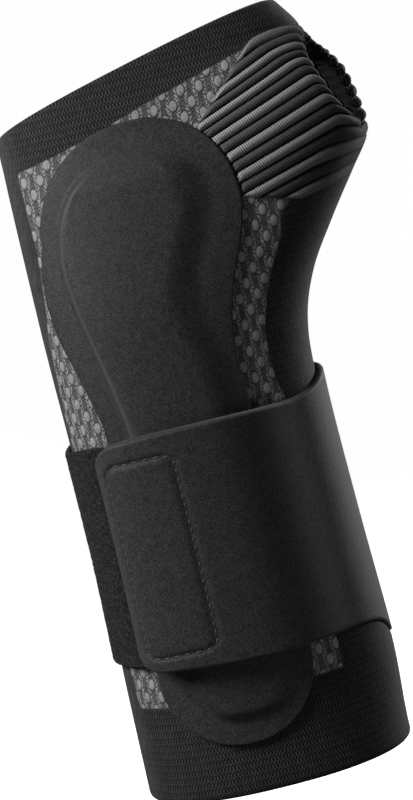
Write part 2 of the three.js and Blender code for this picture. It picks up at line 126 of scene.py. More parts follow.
def sleeve_face(turn, section):
    """Points of the sleeve's outer face. Turn is in degrees: 0 thumb side, 90 back, 270 palm."""
    columns = np.moveaxis(smooth_rows(SECTIONS, section), -1, 0)
    left_x, left_z, right_x, right_z, middle_y, half_depth, lean, power = columns
    across = signed_power(np.cos(np.radians(turn)), 2 / power)
    deep = half_depth * signed_power(np.sin(np.radians(turn)), 2 / power)
    x = (left_x + right_x) / 2 + (right_x - left_x) / 2 * across
    z = (left_z + right_z) / 2 + (right_z - left_z) / 2 * across - lean * deep
    return np.stack([x, middle_y + deep, z], axis=-1)


def unit(ways):
    return ways / np.linalg.norm(ways, axis=-1, keepdims=True)


def sleeve_up(turn, section):
    """Unit ways up along the sleeve's outer face."""
    small = 0.02
    above = sleeve_face(turn, np.minimum(section + small, TOP))
    return unit(above - sleeve_face(turn, np.maximum(section - small, 0)))


def sleeve_normal(turn, section):
    """Unit ways straight out of the sleeve's outer face."""
    small = 1.5
    round_way = sleeve_face(turn + small, section) - sleeve_face(turn - small, section)
    return unit(np.cross(round_way, sleeve_up(turn, section)))


def section_where(rising, like):
    """Section numbers where rising(section) passes zero, in an array shaped like another."""
    low = np.zeros(like.shape)
    high = np.full(like.shape, float(TOP))
    for _ in range(HALVINGS):
        middle = (low + high) / 2
        short = rising(middle) < 0
        low = np.where(short, middle, low)
        high = np.where(short, high, middle)
    return (low + high) / 2


def section_at(turn, z):
    """Section numbers where the sleeve's outer face reaches heights z at given angles."""
    return section_where(lambda s: sleeve_face(turn, s)[..., 2] - z, z)


# Pocket outline on the palm: round ends close it, and the head's top is shifted to the thumb.
# Row columns: z, left x, right x.
POCKET = {
    "tip_z": -102.7,
    "top_z": 51.1,
    "head_power": 2.1,
    "head_shift": 2.2,
    "rows": np.array([
        [-84.7, -24.4, 13.1],
        [-22, -22.2, 13.4],
        [-12, -23.8, 13],
        [-4, -25.6, 13.5],
        [2, -27.2, 14.8],
        [8, -28, 16.8],
        [14, -28.2, 19.4],
        [20, -27.6, 21.8],
        [26, -26.2, 23.4],
    ]),
}


def outline_edges(outline, z):
    """Left and right x of a pocket-like outline at heights z. They meet at its two ends."""
    rows = outline["rows"]
    first_z, last_z = rows[0, 0], rows[-1, 0]
    z = np.clip(z, outline["tip_z"], outline["top_z"])
    _, left, right = np.moveaxis(table_at(rows, z), -1, 0)
    in_tip = np.clip((first_z - z) / (first_z - outline["tip_z"]), 0, 1)
    in_head = np.clip((z - last_z) / (outline["top_z"] - last_z), 0, 1)
    power = outline["head_power"]
    share = np.sqrt(1 - in_tip**2) * (1 - in_head**power) ** (1 / power)
    middle = (left + right) / 2 + outline["head_shift"] * in_head
    half = (right - left) / 2 * share
    return middle - half, middle + half


# Ribs of the gusset run across the palm one above the other and fan out upwards. They bend down
# before the thumb hole, and the lowest and the topmost ones start to do so earlier. Half as high,
# they stand out on the inner face too.
RIB_COUNT = 15
RIB_START_X = 24.5
RIB_LOWEST_LEVEL = 20.8
RIB_PITCH = 2.72
RIB_SLOPE = 0.1514
RIB_FAN = 0.0045
RIB_HEIGHT = 1.45
RIB_DARK_SHARE = 0.85
RIB_INSIDE = 0.7
RIB_SINK_ANGLES = (8, 38)
RIB_END_ROUND = 0.6
GUSSET_LOW_LEVEL = RIB_LOWEST_LEVEL - RIB_PITCH / 2
GUSSET_TOP_LEVEL = GUSSET_LOW_LEVEL + RIB_COUNT * RIB_PITCH
GUSSET_TOP_EDGE = {"x": 34.2, "z": 62.4, "slope": 0.97}
GUSSET_LOW_EDGE = {"x": 24.6, "z": 26.6, "slope": -0.3}
GUSSET_BACK_X = 30
THUMB_HOLE_POINT = np.array([56, 0, 44.5])
THUMB_HOLE_NORMAL = unit(np.array([0.918, -0.19, 0.347]))

# Columns: level, length of the bend, drop at the hole, drop all along.
RIB_BENDS = np.array([
    [24, 20.5, 3.7, 0],
    [31, 6, 3.5, 0],
    [46, 6, 3.5, 0],
    [55, 12.5, 5.2, 1.6],
])


def thumb_distance(points):
    """Distance from the plane that cuts the thumb hole, which is above 0 on the arm's side of it."""
    return (THUMB_HOLE_POINT - points) @ THUMB_HOLE_NORMAL


def rib_level(points):
    """Level of the rib line through points: its height where it starts beside the pocket."""
    along = points[..., 0] - RIB_START_X
    straight = (points[..., 2] - RIB_SLOPE * along) / (1 + RIB_FAN * along)
    _, over, drop, lower = np.moveaxis(table_at(RIB_BENDS, straight), -1, 0)
    bent = np.clip(1 - thumb_distance(points) / over, 0, 1)
    return straight + drop * bent**2 + lower


# Grid of the sleeve: columns run round it from the little-finger side, over the palm first, and rows
# run up it. Rows follow the strap's lower edge and the ribs across the gusset. Both stand closest
# where the knit shows most. Entries of the bands of columns: from, to, count.
TURN_BANDS = ((180, 296, 150), (296, 350, 64), (350, 380, 12), (380, 430, 44), (430, 540, 26))
CUFF_Z = (-114.5, -93)
UNDER_STRAP_Z = (-78, -32)
CUFF_FOLD = (-0.8, 0.6)
LOW_ROWS = (9, 14, 10, 4, 10)
WRIST_ROWS = 58
ROWS_PER_RIB = 8
HAND_ROWS = 16
HAND_RIM_SECTION = TOP - 0.3

turns = np.concatenate([np.linspace(*band, endpoint=False) for band in TURN_BANDS])
level_foot_z = sleeve_face(
    turns,
    section_where(lambda s: rib_level(sleeve_face(turns, s)) - GUSSET_LOW_LEVEL, turns),
)[:, 2]

# Height of the strap's lower edge by angle, carried on round the little-finger side.
STRAP_FOOT = np.array([
    [180, -86],
    [226, -80.2],
    [275, -81.6],
    [295, -81.8],
    [315, -82.2],
    [330, -83],
    [342, -85],
    [355, -89.2],
    [380, -90],
    [464, -90],
    [540, -86],
])
strap_foot = table_at(STRAP_FOOT, turns)[:, 1]
band_ends = [
    *(np.full(turns.shape, z) for z in CUFF_Z),
    *(strap_foot + off for off in CUFF_FOLD),
    *(np.full(turns.shape, z) for z in UNDER_STRAP_Z),
    level_foot_z,
]
row_z = np.vstack([
    np.linspace(low, high, count, endpoint=False)
    for low, high, count in zip(band_ends, band_ends[1:], (*LOW_ROWS, WRIST_ROWS))
])
rib_rows = np.linspace(GUSSET_LOW_LEVEL, GUSSET_TOP_LEVEL, RIB_COUNT * ROWS_PER_RIB + 1)
row_level = np.repeat(rib_rows[:, None], len(turns), axis=1)
low_turns = np.broadcast_to(turns, row_z.shape)
rib_turns = np.broadcast_to(turns, row_level.shape)
low_sections = section_at(low_turns, row_z)
rib_sections = section_where(lambda s: rib_level(sleeve_face(rib_turns, s)) - row_level, row_level)
hand_share = np.linspace(0, 1, HAND_ROWS + 1)[1:, None]
hand_sections = rib_sections[-1] + hand_share * (HAND_RIM_SECTION - rib_sections[-1])
sections = np.vstack([low_sections, rib_sections, hand_sections])
grid_turns = np.broadcast_to(turns, sections.shape)
face = sleeve_face(grid_turns, sections)
normal = sleeve_normal(grid_turns, sections)
face_x, face_z = face[..., 0], face[..., 2]
on_palm = grid_turns < 360

# Distances in millimetres inside the gusset and inside the bubble panel, which are below 0 outside
# them. Columns of the panel's edges: x and z of the one at the top, z and x of those at the sides.
HAND_BAND_EDGE = np.array([
    [-40, 43.2], [-28.1, 45], [-9.6, 49.2], [6.9, 54.3], [24.2, 59], [44, 64.5],
])
PANEL_LEFT = np.array([
    [-116, -31], [-60, -31.3], [-23, -31.5], [-9, -31.3],
    [3.5, -30.6], [16, -29], [25, -28.3], [60, -28.3],
])
PANEL_RIGHT = np.array([
    [-116, 19.6], [-80, 20.4], [-25, 22.5], [-18.6, 21.1], [-10.9, 20.9],
    [-3.5, 22], [5.8, 25.3], [14.6, 30.1], [23.4, 35.3], [60, 60],
])
PANEL_LOW_Z = -90.6
WELL_INSIDE = 2

pocket_left, pocket_right = outline_edges(POCKET, face_z)
below_top = GUSSET_TOP_EDGE["z"] + GUSSET_TOP_EDGE["slope"] * (face_x - GUSSET_TOP_EDGE["x"]) - face_z
below_top = below_top / math.hypot(1, GUSSET_TOP_EDGE["slope"])
above_low = face_z - GUSSET_LOW_EDGE["z"] - GUSSET_LOW_EDGE["slope"] * (face_x - GUSSET_LOW_EDGE["x"])
beside_pocket = np.where(face_z > POCKET["top_z"], WELL_INSIDE, face_x - pocket_right)
gusset = np.where(on_palm, beside_pocket, face_x - GUSSET_BACK_X)
gusset = np.minimum(gusset, np.minimum(below_top, above_low))
level = rib_level(face)
in_levels = np.minimum(level - GUSSET_LOW_LEVEL, GUSSET_TOP_LEVEL - level)
panel = np.minimum(
    face_x - table_at(PANEL_LEFT, face_z)[..., 1],
    table_at(PANEL_RIGHT, face_z)[..., 1] - face_x,
)
panel = np.minimum(panel, table_at(HAND_BAND_EDGE, face_x)[..., 1] - face_z)
panel = np.minimum(panel, face_z - PANEL_LOW_Z)
panel = np.where(on_palm, np.minimum(panel, -np.minimum(below_top, above_low)), -1)

# Ribs: round cords with a sharp valley between them, every second one in the lighter yarn.
rib_number = (level - GUSSET_LOW_LEVEL) / RIB_PITCH
from_middle = 2 * (rib_number - np.floor(rib_number)) - 1
rib_is_light = np.floor(rib_number) % 2 == 0
rib_crown = np.sqrt(np.clip(1 - from_middle**2, 0, 1))
rib_mask = np.where(in_levels > 0, smooth_step(0, RIB_END_ROUND, gusset), 0)
from_thumb = np.abs((grid_turns + 180) % 360 - 180)
side_sink = smooth_step(*RIB_SINK_ANGLES, from_thumb)
rib_raise = RIB_HEIGHT * np.where(rib_is_light, 1, RIB_DARK_SHARE) * rib_crown * rib_mask

# Bubbles: staggered columns of small oval cushions, left out where pocket or strap covers the knit.
BUBBLE_ACROSS = 2.45
BUBBLE_ALONG = 6.5
BUBBLE_HALF = (1.1, 1.45)
BUBBLE_HEIGHT = 0.22
BUBBLE_MARGIN = (0.2, 0.8)
COVERED_Z = (-84, -24)
arc_steps = np.linalg.norm(np.diff(face[..., :2], axis=1, append=face[:, :1, :2]), axis=-1)
arc = np.concatenate([np.zeros((len(face), 1)), np.cumsum(arc_steps, axis=1)], axis=1)
bubble_column = np.round(arc[:, :-1] / BUBBLE_ACROSS)
half_step = 0.5 * (bubble_column % 2)
bubble_row = np.round(face_z / BUBBLE_ALONG - half_step) + half_step
bubble_off = np.stack([
    (arc[:, :-1] - bubble_column * BUBBLE_ACROSS) / BUBBLE_HALF[0],
    (face_z - bubble_row * BUBBLE_ALONG) / BUBBLE_HALF[1],
])
open_knit = np.minimum(panel, np.maximum(pocket_left - face_x, face_x - pocket_right))
open_knit = np.minimum(open_knit, np.maximum(COVERED_Z[0] - face_z, face_z - COVERED_Z[1]))
bubble = np.sqrt(np.clip(1 - (bubble_off**2).sum(axis=0), 0, 1)) * smooth_step(*BUBBLE_MARGIN, open_knit)

# The strap draws the sleeve in, so that the cuff bulges below it at the thumb side.
CUFF_BULGE = {"height": 1.5, "low_z": (-116, -90), "fold": (0.3, -0.5), "angles": (55, 15)}
bulge = CUFF_BULGE["height"] * smooth_step(*CUFF_BULGE["low_z"], face_z)
bulge = bulge * smooth_step(*CUFF_BULGE["fold"], face_z - strap_foot)
bulge = bulge * smooth_step(*CUFF_BULGE["angles"], from_thumb)

# The wall rounds off at the thumb hole. On the palm side it curls in as well, so that the ribs bend
# over its edge. The edge is drawn back between the ribs, on its inner side, and by height.
THUMB_CURL = {"over": 4, "depth": 1.1}
THUMB_ROUND = 1.1
THUMB_EDGE_HALF = 0.05
RIM_VALLEY_PULL = {"palm": 0.9, "back": 1.4}
RIM_INNER_PULL = 0.5
RIM_PULL_OVER = 5.5
PALM_SIDE_Y = (-2, -9)

# Columns: z, pull on the palm side, pull on the back.
RIM_PULL = np.array([
    [34, -0.7, 1.5],
    [38.6, 0.3, 1],
    [41, 1, 0.8],
    [44, 1.7, 0.4],
    [50, 1.9, -0.4],
    [56, 1.9, 0.6],
    [58, 1.4, 0.8],
    [60, 0.9, 1],
    [62, 0.3, 0.4],
])
thumb_side = thumb_distance(face)
palm_share = smooth_step(*PALM_SIDE_Y, face[..., 1])
curl = THUMB_CURL["depth"] * np.clip(1 - thumb_side / THUMB_CURL["over"], 0, 1) ** 2 * palm_share
edge_share = np.clip(thumb_side / THUMB_ROUND, 0, 1)
edge_round = (KNIT_WALL / 2 - THUMB_EDGE_HALF) * (1 - np.sqrt(1 - (1 - edge_share) ** 2))
rib_end = np.sqrt(1 - (1 - np.clip(thumb_side / (2 * THUMB_ROUND), 0, 1)) ** 2)
rib_end = 1 - palm_share * (1 - rib_end)
outer_lift = rib_raise * side_sink * rib_end + BUBBLE_HEIGHT * bubble + bulge - curl - edge_round
inner_lift = -KNIT_WALL + bulge - curl + edge_round - RIB_INSIDE * rib_crown * rib_mask * edge_share
_, palm_pull, back_pull = np.moveaxis(table_at(RIM_PULL, face_z), -1, 0)
palm_pull = palm_pull + RIM_VALLEY_PULL["palm"] * (1 - rib_crown) * rib_mask
back_pull = back_pull + RIM_VALLEY_PULL["back"] * (1 - rib_crown) * rib_mask
rim_pull = back_pull + (palm_pull - back_pull) * palm_share
near_rim = np.clip(1 - thumb_side / RIM_PULL_OVER, 0, 1) ** 2

# The profile runs up the outer face, over the hand's rim, down the inner face and round the cuff.
INNER_ROW_STEP = 4
INNER_RIB_STEP = 2
RIM_ANGLES = np.radians([30, 60, 90, 120, 150])
rib_foot = len(row_z)
rib_head = rib_foot + len(rib_rows) - 1
inner_rows = np.concatenate([
    np.arange(len(face) - 1, rib_head, -INNER_ROW_STEP),
    np.arange(rib_head, rib_foot, -INNER_RIB_STEP),
    np.arange(rib_foot, 0, -INNER_ROW_STEP),
    [0],
])
half_wall = KNIT_WALL / 2
rims = {}
for rim_name, row, out_sign in (("hand", -1, 1), ("cuff", 0, -1)):
    middle = face[row] - half_wall * normal[row]
    out_way = out_sign * sleeve_up(turns, sections[row])
    rims[rim_name] = np.stack([
        middle + half_wall * (np.cos(angle) * normal[row] + np.sin(angle) * out_way)
        for angle in RIM_ANGLES
    ])
sleeve_points = np.concatenate([
    face + outer_lift[..., None] * normal,
    rims["hand"],
    (face + inner_lift[..., None] * normal)[inner_rows],
    rims["cuff"][::-1],
])
source_row = np.concatenate([
    np.arange(len(face)),
    np.full(len(RIM_ANGLES), len(face) - 1),
    inner_rows,
    np.zeros(len(RIM_ANGLES), int),
])
row_count, column_count = sleeve_points.shape[:2]
inside = np.concatenate([
    np.zeros(len(face)),
    np.linspace(0, 1, len(RIM_ANGLES)),
    np.ones(len(inner_rows)),
    np.linspace(1, 0, len(RIM_ANGLES)),
])[:, None]

# The thumb hole's very edge gets a near black painted shade, as the wall's inner face does. Stitches are
# pulled open over the palm and the back and stay partly closed at both sides, where the lighter closed
# stitches also stand in for a painted sheen. A painted shade darkens the ribs towards the thumb side.
RIM_PAINTED_SHADE = (0.9, 0.3)
THUMB_SIDE_CLOSED_AND_SHEEN = (10, 45)
LITTLE_SIDE_CLOSED_AND_SHEEN = (10, 35)
CLOSED_AND_SHEEN_SHARE = 0.65
RIB_PAINTED_SHADE_ANGLES = (20, 95)
inside_painted_shade = np.maximum(inside, smooth_step(*RIM_PAINTED_SHADE, thumb_side)[source_row])
stretch_and_side_sheen = smooth_step(*THUMB_SIDE_CLOSED_AND_SHEEN, from_thumb) * smooth_step(*LITTLE_SIDE_CLOSED_AND_SHEEN, 180 - from_thumb)
stretch_and_side_sheen = 1 - CLOSED_AND_SHEEN_SHARE * (1 - stretch_and_side_sheen)


def grid_faces(rows, columns, closed):
    """Quads of a grid of points in row order. A closed grid joins its last row and column to the first."""
    row = np.arange(rows if closed else rows - 1)[:, None]
    column = np.arange(columns if closed else columns - 1)[None, :]
    next_row = (row + 1) % rows
    next_column = (column + 1) % columns
    corners = [(row, column), (row, next_column), (next_row, next_column), (next_row, column)]
    return np.stack([r * columns + c for r, c in corners], axis=-1).reshape(-1, 4)


def new_piece(name, points, faces):
    """A smooth mesh object from points in millimetres, put into the scene."""
    mesh = bpy.data.meshes.new(name)
    mesh.from_pydata((points.reshape(-1, 3) * MM).tolist(), [], faces.tolist())
    mesh.shade_smooth()
    piece = bpy.data.objects.new(name, mesh)
    bpy.context.scene.collection.objects.link(piece)
    return piece


sleeve = new_piece("sleeve_knit", sleeve_points, grid_faces(row_count, column_count, closed=True))
round_mm = np.minimum(arc, arc[:, -1:] - arc)[source_row]
up_mm = np.concatenate([face_z, face_z[:, :1]], axis=1)[source_row]
uv_rows = (np.arange(row_count)[:, None] + np.array([0, 0, 1, 1])[None, :]) % row_count
uv_columns = np.arange(column_count)[:, None] + np.array([0, 1, 1, 0])[None, :]
knit_uv = np.stack([
    round_mm[uv_rows[:, None, :], uv_columns[None, :, :]],
    up_mm[uv_rows[:, None, :], uv_columns[None, :, :]],
], axis=-1)
sleeve.data.uv_layers.new(name="knit").data.foreach_set("uv", knit_uv.ravel())
for values_name, values in (
    ("gusset", np.minimum(gusset, in_levels)[source_row]),
    ("panel", panel[source_row]),
    ("rib_light", rib_is_light[source_row]),
    ("rib_crown", rib_crown[source_row]),
    ("rim_pull", (rim_pull * near_rim)[source_row] + RIM_INNER_PULL * near_rim[source_row] * inside),
    ("stretch_and_side_sheen", stretch_and_side_sheen[source_row]),
    ("rib_painted_lighting", smooth_step(*RIB_PAINTED_SHADE_ANGLES, from_thumb)[source_row]),
    ("inside_painted_shade", inside_painted_shade),
):
    attribute = sleeve.data.attributes.new(values_name, "FLOAT", "POINT")
    attribute.data.foreach_set("value", values.astype(np.float32).ravel())


def joined_groups(edges):
    """Groups of edges that hang together, the largest last."""
    groups = []
    left = set(edges)
    while left:
        group = []
        reached = [left.pop()]
        while reached:
            edge = reached.pop()
            group.append(edge)
            beside = {other for vertex in edge.verts for other in vertex.link_edges} & left
            left -= beside
            reached.extend(beside)
        groups.append(group)
    return sorted(groups, key=len)


knit_mesh = bmesh.new()
knit_mesh.from_mesh(sleeve.data)
bmesh.ops.bisect_plane(
    knit_mesh,
    geom=[*knit_mesh.verts, *knit_mesh.edges, *knit_mesh.faces],
    plane_co=THUMB_HOLE_POINT * MM,
    plane_no=THUMB_HOLE_NORMAL,
    clear_outer=True,
)
*slits, inner_edge, outer_edge = joined_groups(edge for edge in knit_mesh.edges if edge.is_boundary)
bmesh.ops.bridge_loops(knit_mesh, edges=inner_edge + outer_edge)
bmesh.ops.holes_fill(knit_mesh, edges=[edge for slit in slits for edge in slit])
pull_layer = knit_mesh.verts.layers.float["rim_pull"]
pull_way = Vector(THUMB_HOLE_NORMAL) * MM
for vertex in knit_mesh.verts:
    vertex.co -= vertex[pull_layer] * pull_way
bmesh.ops.recalc_face_normals(knit_mesh, faces=knit_mesh.faces)
for polygon in knit_mesh.faces:
    polygon.smooth = True
knit_mesh.to_mesh(sleeve.data)
knit_mesh.free()


def srgb(hex_colour):
    """Linear colour of an sRGB hex value such as 0x808080."""
    channels = [(hex_colour >> shift & 255) / 255 for shift in (16, 8, 0)]
    linear = [c / 12.92 if c <= 0.04045 else ((c + 0.055) / 1.055) ** 2.4 for c in channels]
    return (*linear, 1)


def new_material(name, constants):
    """A material with constant values set on its shader's own inputs, its node tree and that shader."""
    material = bpy.data.materials.new(name)
    material.use_nodes = True
    shader = material.node_tree.nodes["Principled BSDF"]
    for key, value in constants.items():
        shader.inputs[key].default_value = value
    return material, material.node_tree, shader


def add_node(tree, kind, inputs=(), out=0, **settings):
    """Adds a node with its settings and its inputs, in their order or by key, and gives one output."""
    node = tree.nodes.new(kind)
    for name, value in settings.items():
        setattr(node, name, value)
    keyed = inputs if isinstance(inputs, dict) else dict(enumerate(inputs))
    for key, value in keyed.items():
        if isinstance(value, bpy.types.NodeSocket):
            tree.links.new(value, node.inputs[key])
        else:
            node.inputs[key].default_value = value
    return node.outputs[out]


# Polyamide jersey: matt yarn in rows of small V stitches with black pits between their legs. The
# light yarn is plied in along the bubble panel's chain lines, its bubbles and every second rib.
# Stitch sizes are the knit's own, and are just large enough to show.
WALE = 0.88
COURSE = 1.74
STITCH_SLANT = 0.5
STITCH_COLUMNS = 0.4
STITCH_DEPTH = 0.15
CLOSED_STITCH_AND_SHEEN = 0.85
KNIT_PIT = srgb(0x050505)
KNIT_LEG = srgb(0x404040)
# Near black painted shade for the wall's inner face and the thumb hole's very edge.
KNIT_INSIDE_SHADE = srgb(0x050505)
TURN = 2 * math.pi
MATH, VECTOR_MATH = "ShaderNodeMath", "ShaderNodeVectorMath"
RANGE, MIX = "ShaderNodeMapRange", "ShaderNodeMix"
NOISE, BUMP = "ShaderNodeTexNoise", "ShaderNodeBump"

# A mix of two colours: the places of both among its inputs, and its setting and its output.
MIX_A, MIX_B = 6, 7
COLOURS = {"data_type": "RGBA", "out": 2}

knit, tree, shader = new_material("polyamide_jersey", {
    "Roughness": 0.85,
    "IOR": 1.53,
    "Specular IOR Level": 0.2,
    "Sheen Weight": 0.03,
    "Sheen Roughness": 0.4,
})
knit_map = add_node(tree, "ShaderNodeUVMap", uv_map="knit")
knit_u = add_node(tree, "ShaderNodeSeparateXYZ", [knit_map])
knit_v = knit_u.node.outputs[1]
field = {
    name: add_node(tree, "ShaderNodeAttribute", out="Fac", attribute_name=name)
    for name in ("gusset", "panel", "rib_light", "rib_crown", "rib_painted_lighting", "stretch_and_side_sheen", "inside_painted_shade")
}

# Stitches: pits stand in every wale and, half a course higher, between the wales. Both halves of a
# wale slant to its middle. Each range here and below is from low, from high, to low, to high.
PIT_RANGE = (0.3, -0.4, 0, 0.6)
wale_side = add_node(tree, MATH, (knit_u, WALE / 2), operation="PINGPONG")
slanted = add_node(tree, MATH, (wale_side, STITCH_SLANT, knit_v), operation="MULTIPLY_ADD")
wale_turn = add_node(tree, MATH, (knit_u, TURN / WALE), operation="MULTIPLY")
course_turn = add_node(tree, MATH, (slanted, TURN / COURSE), operation="MULTIPLY")
wale_wave = add_node(tree, MATH, [wale_turn], operation="COSINE")
course_wave = add_node(tree, MATH, [course_turn], operation="COSINE")
pits = add_node(tree, MATH, (wale_wave, course_wave), operation="MULTIPLY")
pits = add_node(tree, MATH, (wale_wave, STITCH_COLUMNS, pits), operation="MULTIPLY_ADD")
open_stitch = add_node(tree, RANGE, (pits, *PIT_RANGE))
# At both sides the lighter closed stitches partly stand in for a painted sheen.
stitch = add_node(tree, MIX, {0: field["stretch_and_side_sheen"], 2: CLOSED_STITCH_AND_SHEEN, 3: open_stitch})

# Yarn is never even: patches of it, longer up the arm than across, are a little lighter or darker.
YARN_PATCH = (1 * MM, 1 * MM, 3 * MM)
UNEVEN_RANGE = (0.3, 0.7, 0.65, 1.35)
yarn_place = add_node(tree, "ShaderNodeTexCoord", out="Object")
yarn_place = add_node(tree, VECTOR_MATH, (yarn_place, YARN_PATCH), operation="DIVIDE")
patches = add_node(tree, NOISE, {"Vector": yarn_place, "Scale": 1, "Detail": 3})
uneven = add_node(tree, RANGE, (patches, *UNEVEN_RANGE))
stitch_light = add_node(tree, MATH, (stitch, uneven), operation="MULTIPLY")
jersey_colour = add_node(tree, MIX, {0: stitch_light, MIX_A: KNIT_PIT, MIX_B: KNIT_LEG}, **COLOURS)

# Bubble panel: ovals of light yarn, the ones of each column half a step above their neighbours, with
# a dark painted shade in a ring round each. A light chain of V stitches, a little loose, runs up on the
# dark ground between two columns.
CHAIN_COURSE = 1
CHAIN_SLANT = -1.1
CHAIN_RANGE = (0.6875, 0.4125, 0.25, 1)
LOOSE_STITCH = 1
LOOSE_RANGE = (0.3, 0.7, -0.45, 0.45)
LEAF_RANGE = (-0.6, 0.5, 0.15, 1)
BUBBLE_RANGE = (0.75, 1.05, 0.95, 0)
RING_SHADE_RANGE = (1, 1.35, 0.2, 1)
WEAVE_RANGE = (-0.8, 0.6, 0.75, 1.1)
PANEL_PIT = srgb(0x2C2C2C)
PANEL_CHAIN = srgb(0x8A8A8A)
BUBBLE_GREY = srgb(0x868686)
across = add_node(tree, MATH, (knit_u, BUBBLE_ACROSS / 2), operation="PINGPONG")
column = add_node(tree, MATH, (knit_u, BUBBLE_ACROSS), operation="DIVIDE")
column = add_node(tree, MATH, [column], operation="ROUND")
odd = add_node(tree, MATH, (column, 2), operation="FLOORED_MODULO")
shifted = add_node(tree, MATH, (odd, BUBBLE_ALONG / 2, knit_v), operation="MULTIPLY_ADD")
along = add_node(tree, MATH, (shifted, BUBBLE_ALONG / 2), operation="PINGPONG")
off_bubble = add_node(tree, "ShaderNodeCombineXYZ", (across, along))
off_bubble = add_node(tree, VECTOR_MATH, (off_bubble, (*BUBBLE_HALF, 1)), operation="DIVIDE")
oval = add_node(tree, VECTOR_MATH, [off_bubble], out="Value", operation="LENGTH")
bubble_shows = add_node(tree, RANGE, (oval, *BUBBLE_RANGE))
# Painted shade in a ring round each bubble.
bubble_ring_shade = add_node(tree, RANGE, (oval, *RING_SHADE_RANGE))
chain_side = add_node(tree, MATH, (BUBBLE_ACROSS / 2, across), operation="SUBTRACT")
chain = add_node(tree, RANGE, (chain_side, *CHAIN_RANGE))
loose = add_node(tree, NOISE, {"Vector": knit_map, "Scale": 1 / LOOSE_STITCH, "Detail": 3})
loose_by = add_node(tree, RANGE, (loose, *LOOSE_RANGE))
leaf_place = add_node(tree, MATH, (chain_side, CHAIN_SLANT, knit_v), operation="MULTIPLY_ADD")
leaf_place = add_node(tree, MATH, (leaf_place, loose_by), operation="ADD")
leaf_turn = add_node(tree, MATH, (leaf_place, TURN / CHAIN_COURSE), operation="MULTIPLY")
leaf_wave = add_node(tree, MATH, [leaf_turn], operation="COSINE")
leaf = add_node(tree, RANGE, (leaf_wave, *LEAF_RANGE))
leaf = add_node(tree, MATH, (leaf, chain), operation="MULTIPLY")
leaf = add_node(tree, MATH, (leaf, bubble_ring_shade), operation="MULTIPLY")
leaf_light = add_node(tree, MATH, (leaf, uneven), operation="MULTIPLY")
chain_colour = add_node(tree, MIX, {0: leaf_light, MIX_A: PANEL_PIT, MIX_B: PANEL_CHAIN}, **COLOURS)
bubble_weave = add_node(tree, RANGE, (leaf_wave, *WEAVE_RANGE))
bubble_light = add_node(tree, MATH, (bubble_weave, uneven), operation="MULTIPLY")
bubble_colour = add_node(tree, MIX, {0: bubble_light, MIX_A: PANEL_PIT, MIX_B: BUBBLE_GREY}, **COLOURS)
panel_colour = add_node(tree, MIX, {0: bubble_shows, MIX_A: chain_colour, MIX_B: bubble_colour}, **COLOURS)
panel_relief = add_node(tree, MATH, (leaf, bubble_shows), operation="MAXIMUM")

# Ribs: dark and light cords with fine stitches across them, with a near black painted shade in the valleys
# between them.
RIB_STITCH = 0.6
RIB_LEAN = math.radians(25)
RIB_STITCH_RANGE = (0.9, -0.2, 0.5, 1.05)
RIB_VALLEY_SHADE_RANGE = (0.2, 0.8, 0, 1)
RIB_PAINTED_SHADE_RANGE = (0, 1, 0.2, 1)
RIB_DARK = srgb(0x505050)
RIB_LIGHT = srgb(0x8C8C8C)
RIB_VALLEY_SHADE = srgb(0x040404)
rib_u = add_node(tree, MATH, (knit_u, math.cos(RIB_LEAN)), operation="MULTIPLY")
rib_along = add_node(tree, MATH, (knit_v, math.sin(RIB_LEAN), rib_u), operation="MULTIPLY_ADD")
rib_turn = add_node(tree, MATH, (rib_along, TURN / RIB_STITCH), operation="MULTIPLY")
rib_wave = add_node(tree, MATH, [rib_turn], operation="COSINE")
rib_stitch = add_node(tree, RANGE, (rib_wave, *RIB_STITCH_RANGE))
# Painted shade in the valleys, from the crown's height.
rib_valley_shading = add_node(tree, RANGE, (field["rib_crown"], *RIB_VALLEY_SHADE_RANGE))
# Painted shade: the ribs darken towards the thumb side, down to a fifth of their colour.
rib_painted_shading = add_node(tree, RANGE, (field["rib_painted_lighting"], *RIB_PAINTED_SHADE_RANGE))
rib_shade = add_node(tree, MATH, (rib_valley_shading, rib_stitch), operation="MULTIPLY")
rib_shade = add_node(tree, MATH, (rib_shade, rib_painted_shading), operation="MULTIPLY")
rib_yarn = add_node(tree, MIX, {0: field["rib_light"], MIX_A: RIB_DARK, MIX_B: RIB_LIGHT}, **COLOURS)
rib_colour = add_node(tree, MIX, {0: rib_shade, MIX_A: RIB_VALLEY_SHADE, MIX_B: rib_yarn}, **COLOURS)

# Zones meet along a crisp line. The wall's inner face shows only a near black painted shade.
PANEL_EDGE_RANGE = (-0.2, 0.2, 0, 1)
GUSSET_EDGE_RANGE = (-0.1, 0.3, 0, 1)
in_panel = add_node(tree, RANGE, (field["panel"], *PANEL_EDGE_RANGE))
in_gusset = add_node(tree, RANGE, (field["gusset"], *GUSSET_EDGE_RANGE))
knit_colour = jersey_colour
knit_relief = stitch
for zone, zone_colour, zone_relief in (
    (in_panel, panel_colour, panel_relief),
    (in_gusset, rib_colour, rib_stitch),
):
    knit_colour = add_node(tree, MIX, {0: zone, MIX_A: knit_colour, MIX_B: zone_colour}, **COLOURS)
    knit_relief = add_node(tree, MIX, {0: zone, 2: knit_relief, 3: zone_relief})
knit_colour = add_node(tree, MIX, {0: field["inside_painted_shade"], MIX_A: knit_colour, MIX_B: KNIT_INSIDE_SHADE}, **COLOURS)
knit_bump = add_node(tree, BUMP, {"Height": knit_relief, "Distance": STITCH_DEPTH * MM, "Strength": 1})
tree.links.new(knit_colour, shader.inputs["Base Color"])
tree.links.new(knit_bump, shader.inputs["Normal"])
sleeve.data.materials.append(knit)
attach(sleeve, "root")
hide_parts("knit_sleeve")

